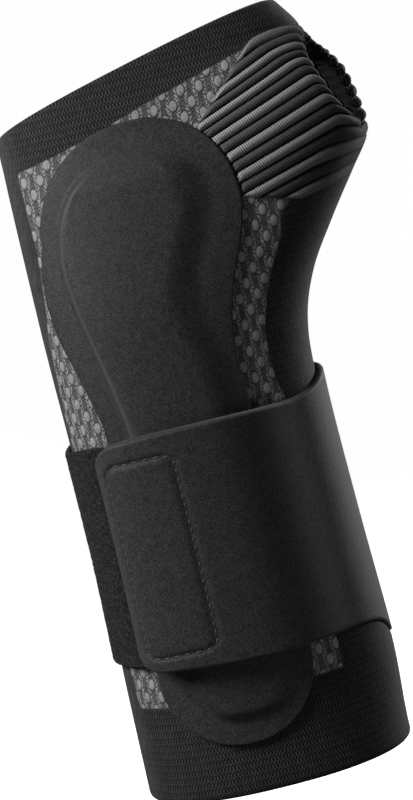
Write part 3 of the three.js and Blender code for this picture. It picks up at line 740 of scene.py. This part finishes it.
# Stay pocket
# A long spoon-shaped pocket of soft velour, sewn to the palm side of the sleeve. A flat bent stay
# in it lifts its middle; on the little-finger side the stay's edge shows as a thin ridge.
PIECE_GAP = 0.35
POCKET_CLOTH = 1
STAY_RAISE = 1.8
STAY_SHOULDER = 3.5
STAY = {
    "tip_z": -97.5,
    "top_z": 44,
    "head_power": 2.2,
    "head_shift": 3,
    "rows": np.array([
        [-83.9, -17.3, 6.3],
        [-24, -17.2, 7],
        [-10, -18.9, 5.6],
        [0, -20.7, 3.4],
        [7, -22.1, 2.8],
        [13, -23, 4.5],
        [20, -23.2, 7.6],
        [27, -22.2, 10.8],
    ]),
}
STAY_THUMB_SLOPE = (-6, 3.5)
STAY_END_SLOPE = {"head": 8, "tip": 4}

# Thin ridge over the stay's edge; its pile gets a paler painted highlight. Columns of its line on the
# palm: z, x.
RIDGE = {"height": 0.13, "half_width": 0.6, "wear_and_painted_highlight": 0.6, "fade_z": (43, 35), "low_z": (-60, -50)}
RIDGE_LINE = np.array([
    [-92, -15.6],
    [-24, -15.6],
    [-12, -17.1],
    [0, -19.2],
    [14, -21.3],
    [20, -21.6],
    [25, -20.9],
    [31, -19.1],
    [36, -15.5],
    [40.5, -10.3],
    [43, -5],
])
POCKET_ROWS = 240
POCKET_COLUMNS = {"edge": 14, "ridge": 17, "rest": 60}
POCKET_END = 0.04
EDGE_CROWDING = 0.7
OUTLINE_POINTS = 400
WELD_WITHIN = 1e-6


def crowded(count, amount):
    """Numbers from 0 to 1 that stand closer together at both ends."""
    even = np.linspace(-1, 1, count)
    return 0.5 + 0.5 * ((1 - amount) * even + amount * np.sin(even * math.pi / 2))


def palm_turn(x, section):
    """Angle on the palm side where the sleeve's section passes x."""
    left_x, _, right_x, *_, power = np.moveaxis(smooth_rows(SECTIONS, section), -1, 0)
    across = np.clip((2 * x - left_x - right_x) / (right_x - left_x), -1, 1)
    return 360 - np.degrees(np.arccos(signed_power(across, power / 2)))


def rounded_edge(from_edge, thickness):
    """Share of a cloth's thickness at a distance from its edge, so that the edge is round."""
    inside = np.clip(2 * from_edge / thickness, 0, 1)
    return np.sqrt(1 - (1 - inside) ** 2)


def weld(piece):
    """Joins the points of a piece that lie on each other."""
    welded = bmesh.new()
    welded.from_mesh(piece.data)
    bmesh.ops.remove_doubles(welded, verts=welded.verts, dist=WELD_WITHIN)
    welded.to_mesh(piece.data)
    welded.free()


def cloth_piece(name, base, way, low, high, wear_and_painted_highlight):
    """A closed sheet between two heights above a grid of points, whose outermost points meet."""
    rows, columns = base.shape[:2]
    outer = base + high[..., None] * way
    inner = base + low[..., None] * way
    faces = grid_faces(rows, columns, closed=False)
    faces = np.vstack([faces, faces[:, ::-1] + rows * columns])
    piece = new_piece(name, np.stack([outer, inner]), faces)
    attribute = piece.data.attributes.new("wear_and_painted_highlight", "FLOAT", "POINT")
    attribute.data.foreach_set("value", np.stack([wear_and_painted_highlight, wear_and_painted_highlight]).astype(np.float32).ravel())
    weld(piece)
    return piece


def outline_distance(outline, x, z):
    """Distance of points from an outline, along the palm."""
    height = outline["tip_z"] + crowded(OUTLINE_POINTS, 1) * (outline["top_z"] - outline["tip_z"])
    left, right = outline_edges(outline, height)
    line = np.stack([np.concatenate([left, right]), np.concatenate([height, height])], axis=-1)
    points = np.stack([x, z], axis=-1)
    return np.array([
        np.linalg.norm(row[:, None] - line[None], axis=-1).min(axis=1) for row in points
    ])


pocket_span = POCKET["top_z"] - POCKET["tip_z"] - 2 * POCKET_END
pocket_z = POCKET["tip_z"] + POCKET_END + crowded(POCKET_ROWS, EDGE_CROWDING)[:, None] * pocket_span
edge_left, edge_right = outline_edges(POCKET, pocket_z)

# Columns stand close on a strip round the ridge, which keeps shares of the width clear of both edges.
STRIP_HALF = 1.6
STRIP_WIDEST = 0.1
STRIP_CLEAR = (0.12, 0.3)
RIDGE_STEP = 0.5
ridge_x = table_at(RIDGE_LINE, pocket_z)[..., 1]
ridge_shift = table_at(RIDGE_LINE, pocket_z + RIDGE_STEP) - table_at(RIDGE_LINE, pocket_z - RIDGE_STEP)
ridge_lean = np.hypot(1, ridge_shift[..., 1] / (2 * RIDGE_STEP))
across_pocket = edge_right - edge_left
strip_half = np.minimum(STRIP_HALF * ridge_lean, STRIP_WIDEST * across_pocket)
clear_left, clear_right = (share * across_pocket for share in STRIP_CLEAR)
strip_x = np.clip(ridge_x, edge_left + clear_left, edge_right - clear_right)
strip_left = strip_x - strip_half
strip_right = strip_x + strip_half
rest_share = 2 * crowded(2 * POCKET_COLUMNS["rest"] - 1, EDGE_CROWDING)[-POCKET_COLUMNS["rest"]:] - 1
pocket_x = np.concatenate([
    np.linspace(edge_left, strip_left, POCKET_COLUMNS["edge"], endpoint=False, axis=-1)[:, 0],
    np.linspace(strip_left, strip_right, POCKET_COLUMNS["ridge"], endpoint=False, axis=-1)[:, 0],
    strip_right + rest_share * (edge_right - strip_right),
], axis=1)
pocket_z = np.broadcast_to(pocket_z, pocket_x.shape)
pocket_sections = section_where(
    lambda s: sleeve_face(palm_turn(pocket_x, s), s)[..., 2] - pocket_z,
    pocket_z,
)
pocket_turns = palm_turn(pocket_x, pocket_sections)
pocket_base = sleeve_face(pocket_turns, pocket_sections)
pocket_way = sleeve_normal(pocket_turns, pocket_sections)
from_pocket_edge = outline_distance(POCKET, pocket_x, pocket_z)
from_pocket_edge[[0, -1]] = 0
from_pocket_edge[:, [0, -1]] = 0
stay_left, stay_right = outline_edges(STAY, pocket_z)
stay_lift = smooth_step(0, STAY_SHOULDER, pocket_x - stay_left)
stay_lift = stay_lift * smooth_step(*STAY_THUMB_SLOPE, stay_right - pocket_x)
stay_lift = stay_lift * smooth_step(0, STAY_END_SLOPE["head"], STAY["top_z"] - pocket_z)
stay_lift = stay_lift * smooth_step(0, STAY_END_SLOPE["tip"], pocket_z - STAY["tip_z"])
ridge_off = (pocket_x - ridge_x) / ridge_lean / RIDGE["half_width"]
ridge = np.exp(-(ridge_off**2)) * smooth_step(*RIDGE["fade_z"], pocket_z)
ridge = ridge * smooth_step(*RIDGE["low_z"], pocket_z)
pocket_half = POCKET_CLOTH / 2 * rounded_edge(from_pocket_edge, POCKET_CLOTH)
pocket_middle = PIECE_GAP + POCKET_CLOTH / 2
pocket = cloth_piece(
    "pocket_velour",
    pocket_base,
    pocket_way,
    pocket_middle - pocket_half,
    pocket_middle + pocket_half + STAY_RAISE * stay_lift + RIDGE["height"] * ridge,
    wear_and_painted_highlight=RIDGE["wear_and_painted_highlight"] * ridge,
)

# Brushed polyamide velour: a dense short pile that hides the knit under it. It is matt and nearly
# black face on, speckled where the pile turns, and paler where it is seen from the side.
# Pile is about 0.15 mm across and is drawn twice as coarse, so that it shows.
PILE_GRAIN = 0.3
PILE_CLUMP = 1.6
CLUMP_SHARE = 0.15
PILE_RANGE = (0.43, 0.59, 0, 1)
PILE_DEPTH = 0.1
VELOUR_DARK = srgb(0x080808)
VELOUR_LIGHT = srgb(0x323232)
VELOUR_WORN_AND_LIT = srgb(0x424242)

velour, tree, shader = new_material("polyamide_velour", {
    "Roughness": 0.65,
    "IOR": 1.53,
    "Specular IOR Level": 0.25,
    "Sheen Weight": 0.03,
    "Sheen Roughness": 0.5,
})
place = add_node(tree, "ShaderNodeTexCoord", out="Object")
grain = add_node(
    tree, NOISE, {"Vector": place, "Scale": 1 / (PILE_GRAIN * MM), "Detail": 2, "Roughness": 0.7}
)
clump = add_node(tree, NOISE, {"Vector": place, "Scale": 1 / (PILE_CLUMP * MM), "Detail": 2})
pile = add_node(tree, MIX, {0: CLUMP_SHARE, 2: grain, 3: clump})
pile_light = add_node(tree, RANGE, (pile, *PILE_RANGE))
pile_colour = add_node(tree, MIX, {0: pile_light, MIX_A: VELOUR_DARK, MIX_B: VELOUR_LIGHT}, **COLOURS)
# Paler pile where marked: a painted highlight on the stay's ridge and the strap's end, and worn pile with
# a painted highlight at the strap's cut edges.
wear_and_painted_highlight = add_node(tree, "ShaderNodeAttribute", out="Fac", attribute_name="wear_and_painted_highlight")
pile_colour = add_node(tree, MIX, {0: wear_and_painted_highlight, MIX_A: pile_colour, MIX_B: VELOUR_WORN_AND_LIT}, **COLOURS)
pile_bump = add_node(tree, BUMP, {"Height": pile, "Distance": PILE_DEPTH * MM, "Strength": 1})
tree.links.new(pile_colour, shader.inputs["Base Color"])
tree.links.new(pile_bump, shader.inputs["Normal"])
pocket.data.materials.append(velour)
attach(pocket, "root")
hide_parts("stay_pocket")

# Loop band
# A band of loop pile sewn to the sleeve at the back and laid round the little-finger side. The
# strap's hooks close on it, and its coarse fuzzy face shows beside the strap's end.
LANDING_THICK = 1.4
LANDING_RISE = (200, 246)
LANDING_CORNER = 3
PILE_LUMP = 0.1
LUMP_SEED = 7
STRAP_COVERS_FROM = 224

# Columns of a band's edges: angle, z of its upper edge, z of its lower edge.
LANDING_EDGES = np.array([
    [86, -22.5, -86],
    [140, -23.5, -83],
    [180, -25.2, -79.9],
    [200, -24.5, -79.7],
    [226, -23.8, -79.4],
    [240, -24.4, -79.3],
    [270, -25.4, -79.2],
])
MM_PER_DEGREE = 0.5
BAND_PITCH = 0.55
EXTRA_POINTS = 12
POCKET_CLEAR = 2 * PIECE_GAP + POCKET_CLOTH + STAY_RAISE


def landing_height(turn):
    """Height of the loop band's inner face above the sleeve: it climbs over the pocket's edge."""
    return PIECE_GAP + (POCKET_CLEAR - PIECE_GAP) * smooth_step(*LANDING_RISE, turn)


def corner_inset(radius, from_end):
    """How far a round corner draws in a band's edges, at a distance from its end."""
    inside = np.clip(radius - from_end, 0, radius)
    return radius - np.sqrt(radius**2 - inside**2)


def band_grid(edges, corner):
    """Angles and heights of a band's points, and their distances from its edge, in millimetres."""
    first, last = edges[0, 0], edges[-1, 0]
    columns = round((last - first) * MM_PER_DEGREE / BAND_PITCH) + EXTRA_POINTS
    rows = round((edges[0, 1] - edges[0, 2]) / BAND_PITCH) + EXTRA_POINTS
    turn = first + (last - first) * crowded(columns, EDGE_CROWDING / 2)
    _, high, low = table_at(edges, turn).T
    from_end = np.minimum(turn - first, last - turn) * MM_PER_DEGREE
    inset = corner_inset(corner, from_end)
    share = crowded(rows, EDGE_CROWDING / 2)[:, None]
    z = low + inset + share * (high - low - 2 * inset)
    from_edge = np.minimum(np.minimum(z - low - inset, high - inset - z), from_end)
    return np.broadcast_to(turn, z.shape), z, from_edge


landing_turns, landing_z, from_landing_edge = band_grid(LANDING_EDGES, LANDING_CORNER)
landing_sections = section_at(landing_turns, landing_z)
landing_half = LANDING_THICK / 2 * rounded_edge(from_landing_edge, LANDING_THICK)
landing_middle = landing_height(landing_turns) + LANDING_THICK / 2
pile_lumps = np.random.default_rng(LUMP_SEED).uniform(-PILE_LUMP, PILE_LUMP, landing_z.shape)
pile_lumps = np.where(from_landing_edge > PILE_LUMP, pile_lumps, 0)
pile_lumps = np.where(landing_turns > STRAP_COVERS_FROM, np.minimum(pile_lumps, 0), pile_lumps)
landing = cloth_piece(
    "landing_pile",
    sleeve_face(landing_turns, landing_sections),
    sleeve_normal(landing_turns, landing_sections),
    landing_middle - landing_half,
    landing_middle + landing_half + pile_lumps,
    wear_and_painted_highlight=np.zeros(landing_z.shape),
)

# Loop pile: unbroken loops of polyamide yarn stand up from a knitted ground. They scatter the light,
# so the face is black with grey specks. A loop is about 0.6 mm across and is drawn a little coarser,
# so that it shows.
LOOP_SIZE = 0.8
LOOP_RANGE = (0.46, 0.64, 0, 1)
LOOP_DEPTH = 0.5
LOOP_DARK = srgb(0x030303)
LOOP_LIGHT = srgb(0x282828)

loop_pile, tree, shader = new_material("polyamide_loop_pile", {
    "Roughness": 1,
    "IOR": 1.53,
    "Specular IOR Level": 0.1,
    "Sheen Weight": 0.04,
    "Sheen Roughness": 0.6,
})
place = add_node(tree, "ShaderNodeTexCoord", out="Object")
loops = add_node(
    tree, NOISE, {"Vector": place, "Scale": 1 / (LOOP_SIZE * MM), "Detail": 3, "Roughness": 0.65}
)
loop_light = add_node(tree, RANGE, (loops, *LOOP_RANGE))
loop_colour = add_node(tree, MIX, {0: loop_light, MIX_A: LOOP_DARK, MIX_B: LOOP_LIGHT}, **COLOURS)
loop_bump = add_node(tree, BUMP, {"Height": loops, "Distance": LOOP_DEPTH * MM, "Strength": 1})
tree.links.new(loop_colour, shader.inputs["Base Color"])
tree.links.new(loop_bump, shader.inputs["Normal"])
landing.data.materials.append(loop_pile)
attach(landing, "root")
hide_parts("strap_landing")

# Hook patch
# A piece of moulded hook tape sewn to the inner face of the strap's end, where it grips the loop
# band. It lies between the two and hardly shows, so its solid stays as it is.
# Moulded polypropylene: smooth dark plastic in rows of small hooks, 1.3 mm apart.
HOOK_PITCH = 1.3
HOOK_STRAY = 0.2
HOOK_DARK = srgb(0x0E0E0E)
HOOK_LIGHT = srgb(0x2A2A2A)

hook_tape, tree, shader = new_material("moulded_hook_tape", {"Roughness": 0.5, "IOR": 1.49})
place = add_node(tree, "ShaderNodeTexCoord", out="Object")
hooks = add_node(
    tree,
    "ShaderNodeTexVoronoi",
    {"Vector": place, "Scale": 1 / (HOOK_PITCH * MM), "Randomness": HOOK_STRAY},
    out="Distance",
)
hook_colour = add_node(tree, MIX, {0: hooks, MIX_A: HOOK_LIGHT, MIX_B: HOOK_DARK}, **COLOURS)
tree.links.new(hook_colour, shader.inputs["Base Color"])
hook_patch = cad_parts["hook_patch"]
hook_patch.data.materials.clear()
hook_patch.data.materials.append(hook_tape)

# Strap
# A wide band of foam-backed velour that goes from the back seam round the thumb side and closes on
# the loop band with its rounded end. The hook patch under that end is sewn on along a rectangle,
# whose stitches pull a groove into the velour. Its upper edge is turned in to the sleeve.
STRAP_THICK = 1.7
HOOK_THICK = 0.9
STRAP_CORNER = 6
STRAP_EDGES = np.array([
    [226, -23.6, -80.2],
    [250, -22.7, -80.8],
    [275, -22.7, -81.6],
    [295, -23.2, -81.8],
    [315, -23.6, -82.2],
    [330, -22.6, -83],
    [342, -21.2, -85],
    [355, -19.6, -89.2],
    [380, -19, -90],
    [464, -19, -90],
])
STRAP_FALL = (272, 318)
SEAM_RISE = (430, 442)
HOOK_ANGLES = (231, 261)
HOOK_HEIGHTS = (-76, -27.5)
HOOK_SLOPE = (1, 4)
FOAM_SLOPE = (1, 26)
END_DROP = 0.8
TURNED_IN = (0.3, 0.7)
ON_LANDING = LANDING_THICK + PIECE_GAP

# Sewn rectangle, as angles and heights of its middle line, with round corners.
SEWN_ANGLES = (232.5, 260.5)
SEWN_HEIGHTS = (-76.7, -28.4)
SEWN_LEAN = 0.4
SEWN_CORNER = 2.6
GROOVE = {"depth": 0.38, "half_width": 0.55}
PILLOW = {"height": 0.15, "over": 1.6}
# Paler pile along the strap's cut edges is wear and a painted highlight, and at its end it is painted
# light.
CUT_EDGE = {"wear_and_painted_highlight": 0.4, "half_width": 0.5}
END_PAINTED_LIGHT = {"wear_and_painted_highlight": 0.4, "half_width": 3}
sewn_turn = sum(SEWN_ANGLES) / 2
sewn_z = sum(SEWN_HEIGHTS) / 2
sewn_slope = SEWN_LEAN / (SEWN_ANGLES[1] - SEWN_ANGLES[0])
sewn_straight = np.array([
    (SEWN_ANGLES[1] - SEWN_ANGLES[0]) * MM_PER_DEGREE - 2 * SEWN_CORNER,
    SEWN_HEIGHTS[1] - SEWN_HEIGHTS[0] - 2 * SEWN_CORNER,
])


def under_strap(turn):
    """Height above the sleeve of what lies under the strap beside the hook patch."""
    fallen = smooth_step(*STRAP_FALL, turn)
    on_sleeve = POCKET_CLEAR + ON_LANDING + (PIECE_GAP - POCKET_CLEAR - ON_LANDING) * fallen
    on_sleeve = on_sleeve + ON_LANDING * smooth_step(*SEAM_RISE, turn)
    return np.where(turn <= STRAP_FALL[0], landing_height(turn) + ON_LANDING, on_sleeve)


def strap_bottom(turn, z):
    """Height of the strap's inner face, which drops down close round the hook patch."""
    beside = np.maximum(np.maximum(HOOK_ANGLES[0] - turn, turn - HOOK_ANGLES[1]), 0) * MM_PER_DEGREE
    beyond = np.maximum(np.maximum(HOOK_HEIGHTS[0] - z, z - HOOK_HEIGHTS[1]), 0)
    over_hooks = 1 - smooth_step(*HOOK_SLOPE, np.hypot(beside, beyond))
    return under_strap(turn) + (HOOK_THICK + PIECE_GAP) * over_hooks


def strap_top(turn):
    """Height of the strap's outer face. Its foam evens out the hook patch, and it drops at its end."""
    beside = np.maximum(turn - HOOK_ANGLES[1], 0) * MM_PER_DEGREE
    over_hooks = 1 - smooth_step(*FOAM_SLOPE, beside)
    at_end = np.clip((HOOK_ANGLES[0] - turn) / (HOOK_ANGLES[0] - STRAP_EDGES[0, 0]), 0, 1)
    return under_strap(turn) + (HOOK_THICK + PIECE_GAP) * over_hooks + STRAP_THICK - END_DROP * at_end


def inside_sewn(turn, z):
    """Distance inside the sewn rectangle, in millimetres, which is below 0 outside it."""
    across = np.abs(turn - sewn_turn) * MM_PER_DEGREE - sewn_straight[0] / 2
    upward = np.abs(z - sewn_z - sewn_slope * (turn - sewn_turn)) - sewn_straight[1] / 2
    outside = np.hypot(np.maximum(across, 0), np.maximum(upward, 0))
    return SEWN_CORNER - outside - np.minimum(np.maximum(across, upward), 0)


def strap_relief(turn, z):
    """How far the sewn groove and the cushion inside it lift the strap's outer face."""
    inside = inside_sewn(turn, z)
    groove = -GROOVE["depth"] * np.exp(-((inside / GROOVE["half_width"]) ** 2))
    return groove + PILLOW["height"] * smooth_step(0, PILLOW["over"], inside)


strap_turns, strap_z, from_strap_edge = band_grid(STRAP_EDGES, STRAP_CORNER)
strap_sections = section_at(strap_turns, strap_z)
strap_inner = strap_bottom(strap_turns, strap_z)
strap_outer = strap_top(strap_turns)
_, strap_high, strap_low = np.moveaxis(table_at(STRAP_EDGES, strap_turns), -1, 0)
strap_edge = rounded_edge(from_strap_edge, STRAP_THICK)
turned_in = smooth_step(*TURNED_IN, (strap_z - strap_low) / (strap_high - strap_low))
strap_half = (strap_outer - strap_inner) / 2
strap_middle = strap_inner + strap_half * (1 - turned_in * (1 - strap_edge))
strap_half = strap_half * strap_edge
from_strap_end = (strap_turns - STRAP_EDGES[0, 0]) * MM_PER_DEGREE
edge_wear_and_highlight = CUT_EDGE["wear_and_painted_highlight"] * np.exp(-((from_strap_edge / CUT_EDGE["half_width"]) ** 2))
end_painted_light = END_PAINTED_LIGHT["wear_and_painted_highlight"] * np.exp(-((from_strap_end / END_PAINTED_LIGHT["half_width"]) ** 2))
strap = cloth_piece(
    "strap_velour",
    sleeve_face(strap_turns, strap_sections),
    sleeve_normal(strap_turns, strap_sections),
    strap_middle - strap_half,
    strap_middle + strap_half + strap_relief(strap_turns, strap_z),
    wear_and_painted_highlight=np.maximum(edge_wear_and_highlight, end_painted_light),
)
strap.data.materials.append(velour)
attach(strap, "root")
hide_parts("strap")

# Stitching
# A row of lock stitches in thick polyester thread along the sewn rectangle. Each stitch lies in the
# groove and dips into the velour at both ends.
STITCH_PITCH = 2.1
STITCH_LONG = 1.5
THREAD_RADIUS = 0.17
THREAD_SIDES = 6
THREAD_RINGS = np.linspace(-1, 1, 7)
THREAD_LIFT = 0.05
DIP_POWER = 4
TAPER_POWER = 6

quarter = SEWN_CORNER * math.pi / 2
sewn_length = 2 * sewn_straight.sum() + 4 * quarter
stitch_count = round(sewn_length / STITCH_PITCH)


def sewn_line(distance):
    """Angle and height on the sewn rectangle's middle line at distances along it."""
    distance = distance % sewn_length
    starts = np.cumsum([0, *np.tile(sewn_straight + quarter, 2)])
    side = np.searchsorted(starts, distance, side="right") - 1
    along = distance - starts[side]
    side_long = sewn_straight[side % 2]
    bend = np.maximum(along - side_long, 0) / SEWN_CORNER
    ahead = np.minimum(along, side_long) - side_long / 2 + SEWN_CORNER * np.sin(bend)
    outward = sewn_straight[(side + 1) % 2] / 2 + SEWN_CORNER * np.cos(bend)
    side_turn = side * math.pi / 2
    across = ahead * np.cos(side_turn) + outward * np.sin(side_turn)
    upward = outward * np.cos(side_turn) - ahead * np.sin(side_turn)
    off_turn = across / MM_PER_DEGREE
    return sewn_turn + off_turn, sewn_z + upward + sewn_slope * off_turn


def on_strap(turn, z, lift):
    """Points at a lift above the strap's outer face, and the ways out of it."""
    section = section_at(turn, z)
    height = strap_top(turn) + strap_relief(turn, z) + lift
    way = sleeve_normal(turn, section)
    return sleeve_face(turn, section) + height[..., None] * way, way


stitch_starts = np.arange(stitch_count) * sewn_length / stitch_count
stitch_along = stitch_starts[:, None] + STITCH_LONG / 2 * THREAD_RINGS[None, :]
thread_lift = THREAD_LIFT - 2 * THREAD_RADIUS * THREAD_RINGS**DIP_POWER
thread_turns, thread_z = sewn_line(stitch_along)
thread_middle, thread_out = on_strap(thread_turns, thread_z, thread_lift)
thread_way = unit(np.gradient(thread_middle, axis=1))
thread_side = unit(np.cross(thread_way, thread_out))
thread_radius = THREAD_RADIUS * np.sqrt(1 - THREAD_RINGS**TAPER_POWER)
ring_turn = np.linspace(0, TURN, THREAD_SIDES, endpoint=False)
thread_points = (
    thread_middle[:, :, None]
    + (thread_radius[None, :, None] * np.cos(ring_turn))[..., None] * thread_side[:, :, None]
    + (thread_radius[None, :, None] * np.sin(ring_turn))[..., None] * thread_out[:, :, None]
)
ring_count = len(THREAD_RINGS)
one_stitch = grid_faces(ring_count, THREAD_SIDES, closed=True)[: (ring_count - 1) * THREAD_SIDES]
stitch_faces = np.concatenate([one_stitch + k * ring_count * THREAD_SIDES for k in range(stitch_count)])
stitching = new_piece("strap_stitching", thread_points, stitch_faces)
weld(stitching)

# Polyester sewing thread: spun and a little shiny, in a grey lighter than the velour. The twist of
# its plies is 0.4 mm long.
PLY_TWIST = 0.4
THREAD_DARK = srgb(0x1C1C1C)
THREAD_LIGHT = srgb(0x444444)

thread, tree, shader = new_material("polyester_thread", {"Roughness": 0.6, "IOR": 1.57})
place = add_node(tree, "ShaderNodeTexCoord", out="Object")
plies = add_node(tree, NOISE, {"Vector": place, "Scale": 1 / (PLY_TWIST * MM), "Detail": 2})
thread_colour = add_node(tree, MIX, {0: plies, MIX_A: THREAD_DARK, MIX_B: THREAD_LIGHT}, **COLOURS)
tree.links.new(thread_colour, shader.inputs["Base Color"])
stitching.data.materials.append(thread)
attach(stitching, "root")

# Studio
# A pale round sweep, floor and wall in one, a key softbox at the left, one at the right behind the
# brace for its rim, a weak one low in front, and an even sky.
FLOOR_DROP = 0.2
FLOOR_RADIUS = 1.6
SWEEP_RADIUS = 0.9
WALL_TOP = 3
SWEEP_SIDES = 96
SWEEP_STEPS = 16
FLOOR_WHITE = srgb(0xF4F4F4)
FLOOR_GLOW = 0.97
SKY_WHITE = srgb(0xFFFFFF)
SKY_STRENGTH = 0.06

floor_z = cad_box[0][2] - FLOOR_DROP
bend = np.linspace(0, math.pi / 2, SWEEP_STEPS)
wall_radius = FLOOR_RADIUS + SWEEP_RADIUS
sweep_radius = np.concatenate([[0], FLOOR_RADIUS + SWEEP_RADIUS * np.sin(bend), [wall_radius]])
sweep_z = np.concatenate([[0], SWEEP_RADIUS * (1 - np.cos(bend)), [WALL_TOP]]) + floor_z
sweep_turn = np.linspace(0, TURN, SWEEP_SIDES, endpoint=False)
sweep_points = np.stack([
    sweep_radius[:, None] * np.cos(sweep_turn),
    sweep_radius[:, None] * np.sin(sweep_turn),
    np.repeat(sweep_z[:, None], SWEEP_SIDES, axis=1),
], axis=-1)
sweep_faces = grid_faces(len(sweep_z), SWEEP_SIDES, closed=True)[: (len(sweep_z) - 1) * SWEEP_SIDES]
floor = new_piece("floor", sweep_points / MM, sweep_faces[:, ::-1])
weld(floor)

# White paper: matt, with a glow in place of background lamps, so that it shows as an even white.
paper, _, _ = new_material("white_paper", {
    "Base Color": FLOOR_WHITE,
    "Roughness": 1,
    "Emission Color": FLOOR_WHITE,
    "Emission Strength": FLOOR_GLOW,
})
floor.data.materials.append(paper)
floor.visible_diffuse = False
floor.visible_glossy = False

# Columns: name, angle to the right of the camera, elevation, distance, size, power in watts.
SOFTBOXES = (
    ("key_left", -65, 37, 0.7, 0.32, 8.6),
    ("rim_right", 126, 10, 1, 0.5, 10.5),
    ("fill_low", 20, -35, 0.45, 0.3, 0.3),
)
for light_name, light_turn, light_rise, light_far, light_size, light_power in SOFTBOXES:
    aside, up = math.radians(light_turn), math.radians(light_rise)
    light_way = Vector((math.sin(aside) * math.cos(up), -math.cos(aside) * math.cos(up), math.sin(up)))
    softbox = bpy.data.objects.new(light_name, bpy.data.lights.new(light_name, "AREA"))
    softbox.data.size = light_size
    softbox.data.energy = light_power
    softbox.location = light_far * light_way
    softbox.rotation_euler = (-light_way).to_track_quat("-Z", "Y").to_euler()
    bpy.context.scene.collection.objects.link(softbox)

sky = bpy.data.worlds.new("studio")
sky.use_nodes = True
sky.node_tree.nodes["Background"].inputs["Color"].default_value = SKY_WHITE
sky.node_tree.nodes["Background"].inputs["Strength"].default_value = SKY_STRENGTH
bpy.context.scene.world = sky
bpy.context.scene.view_settings.view_transform = "Standard"
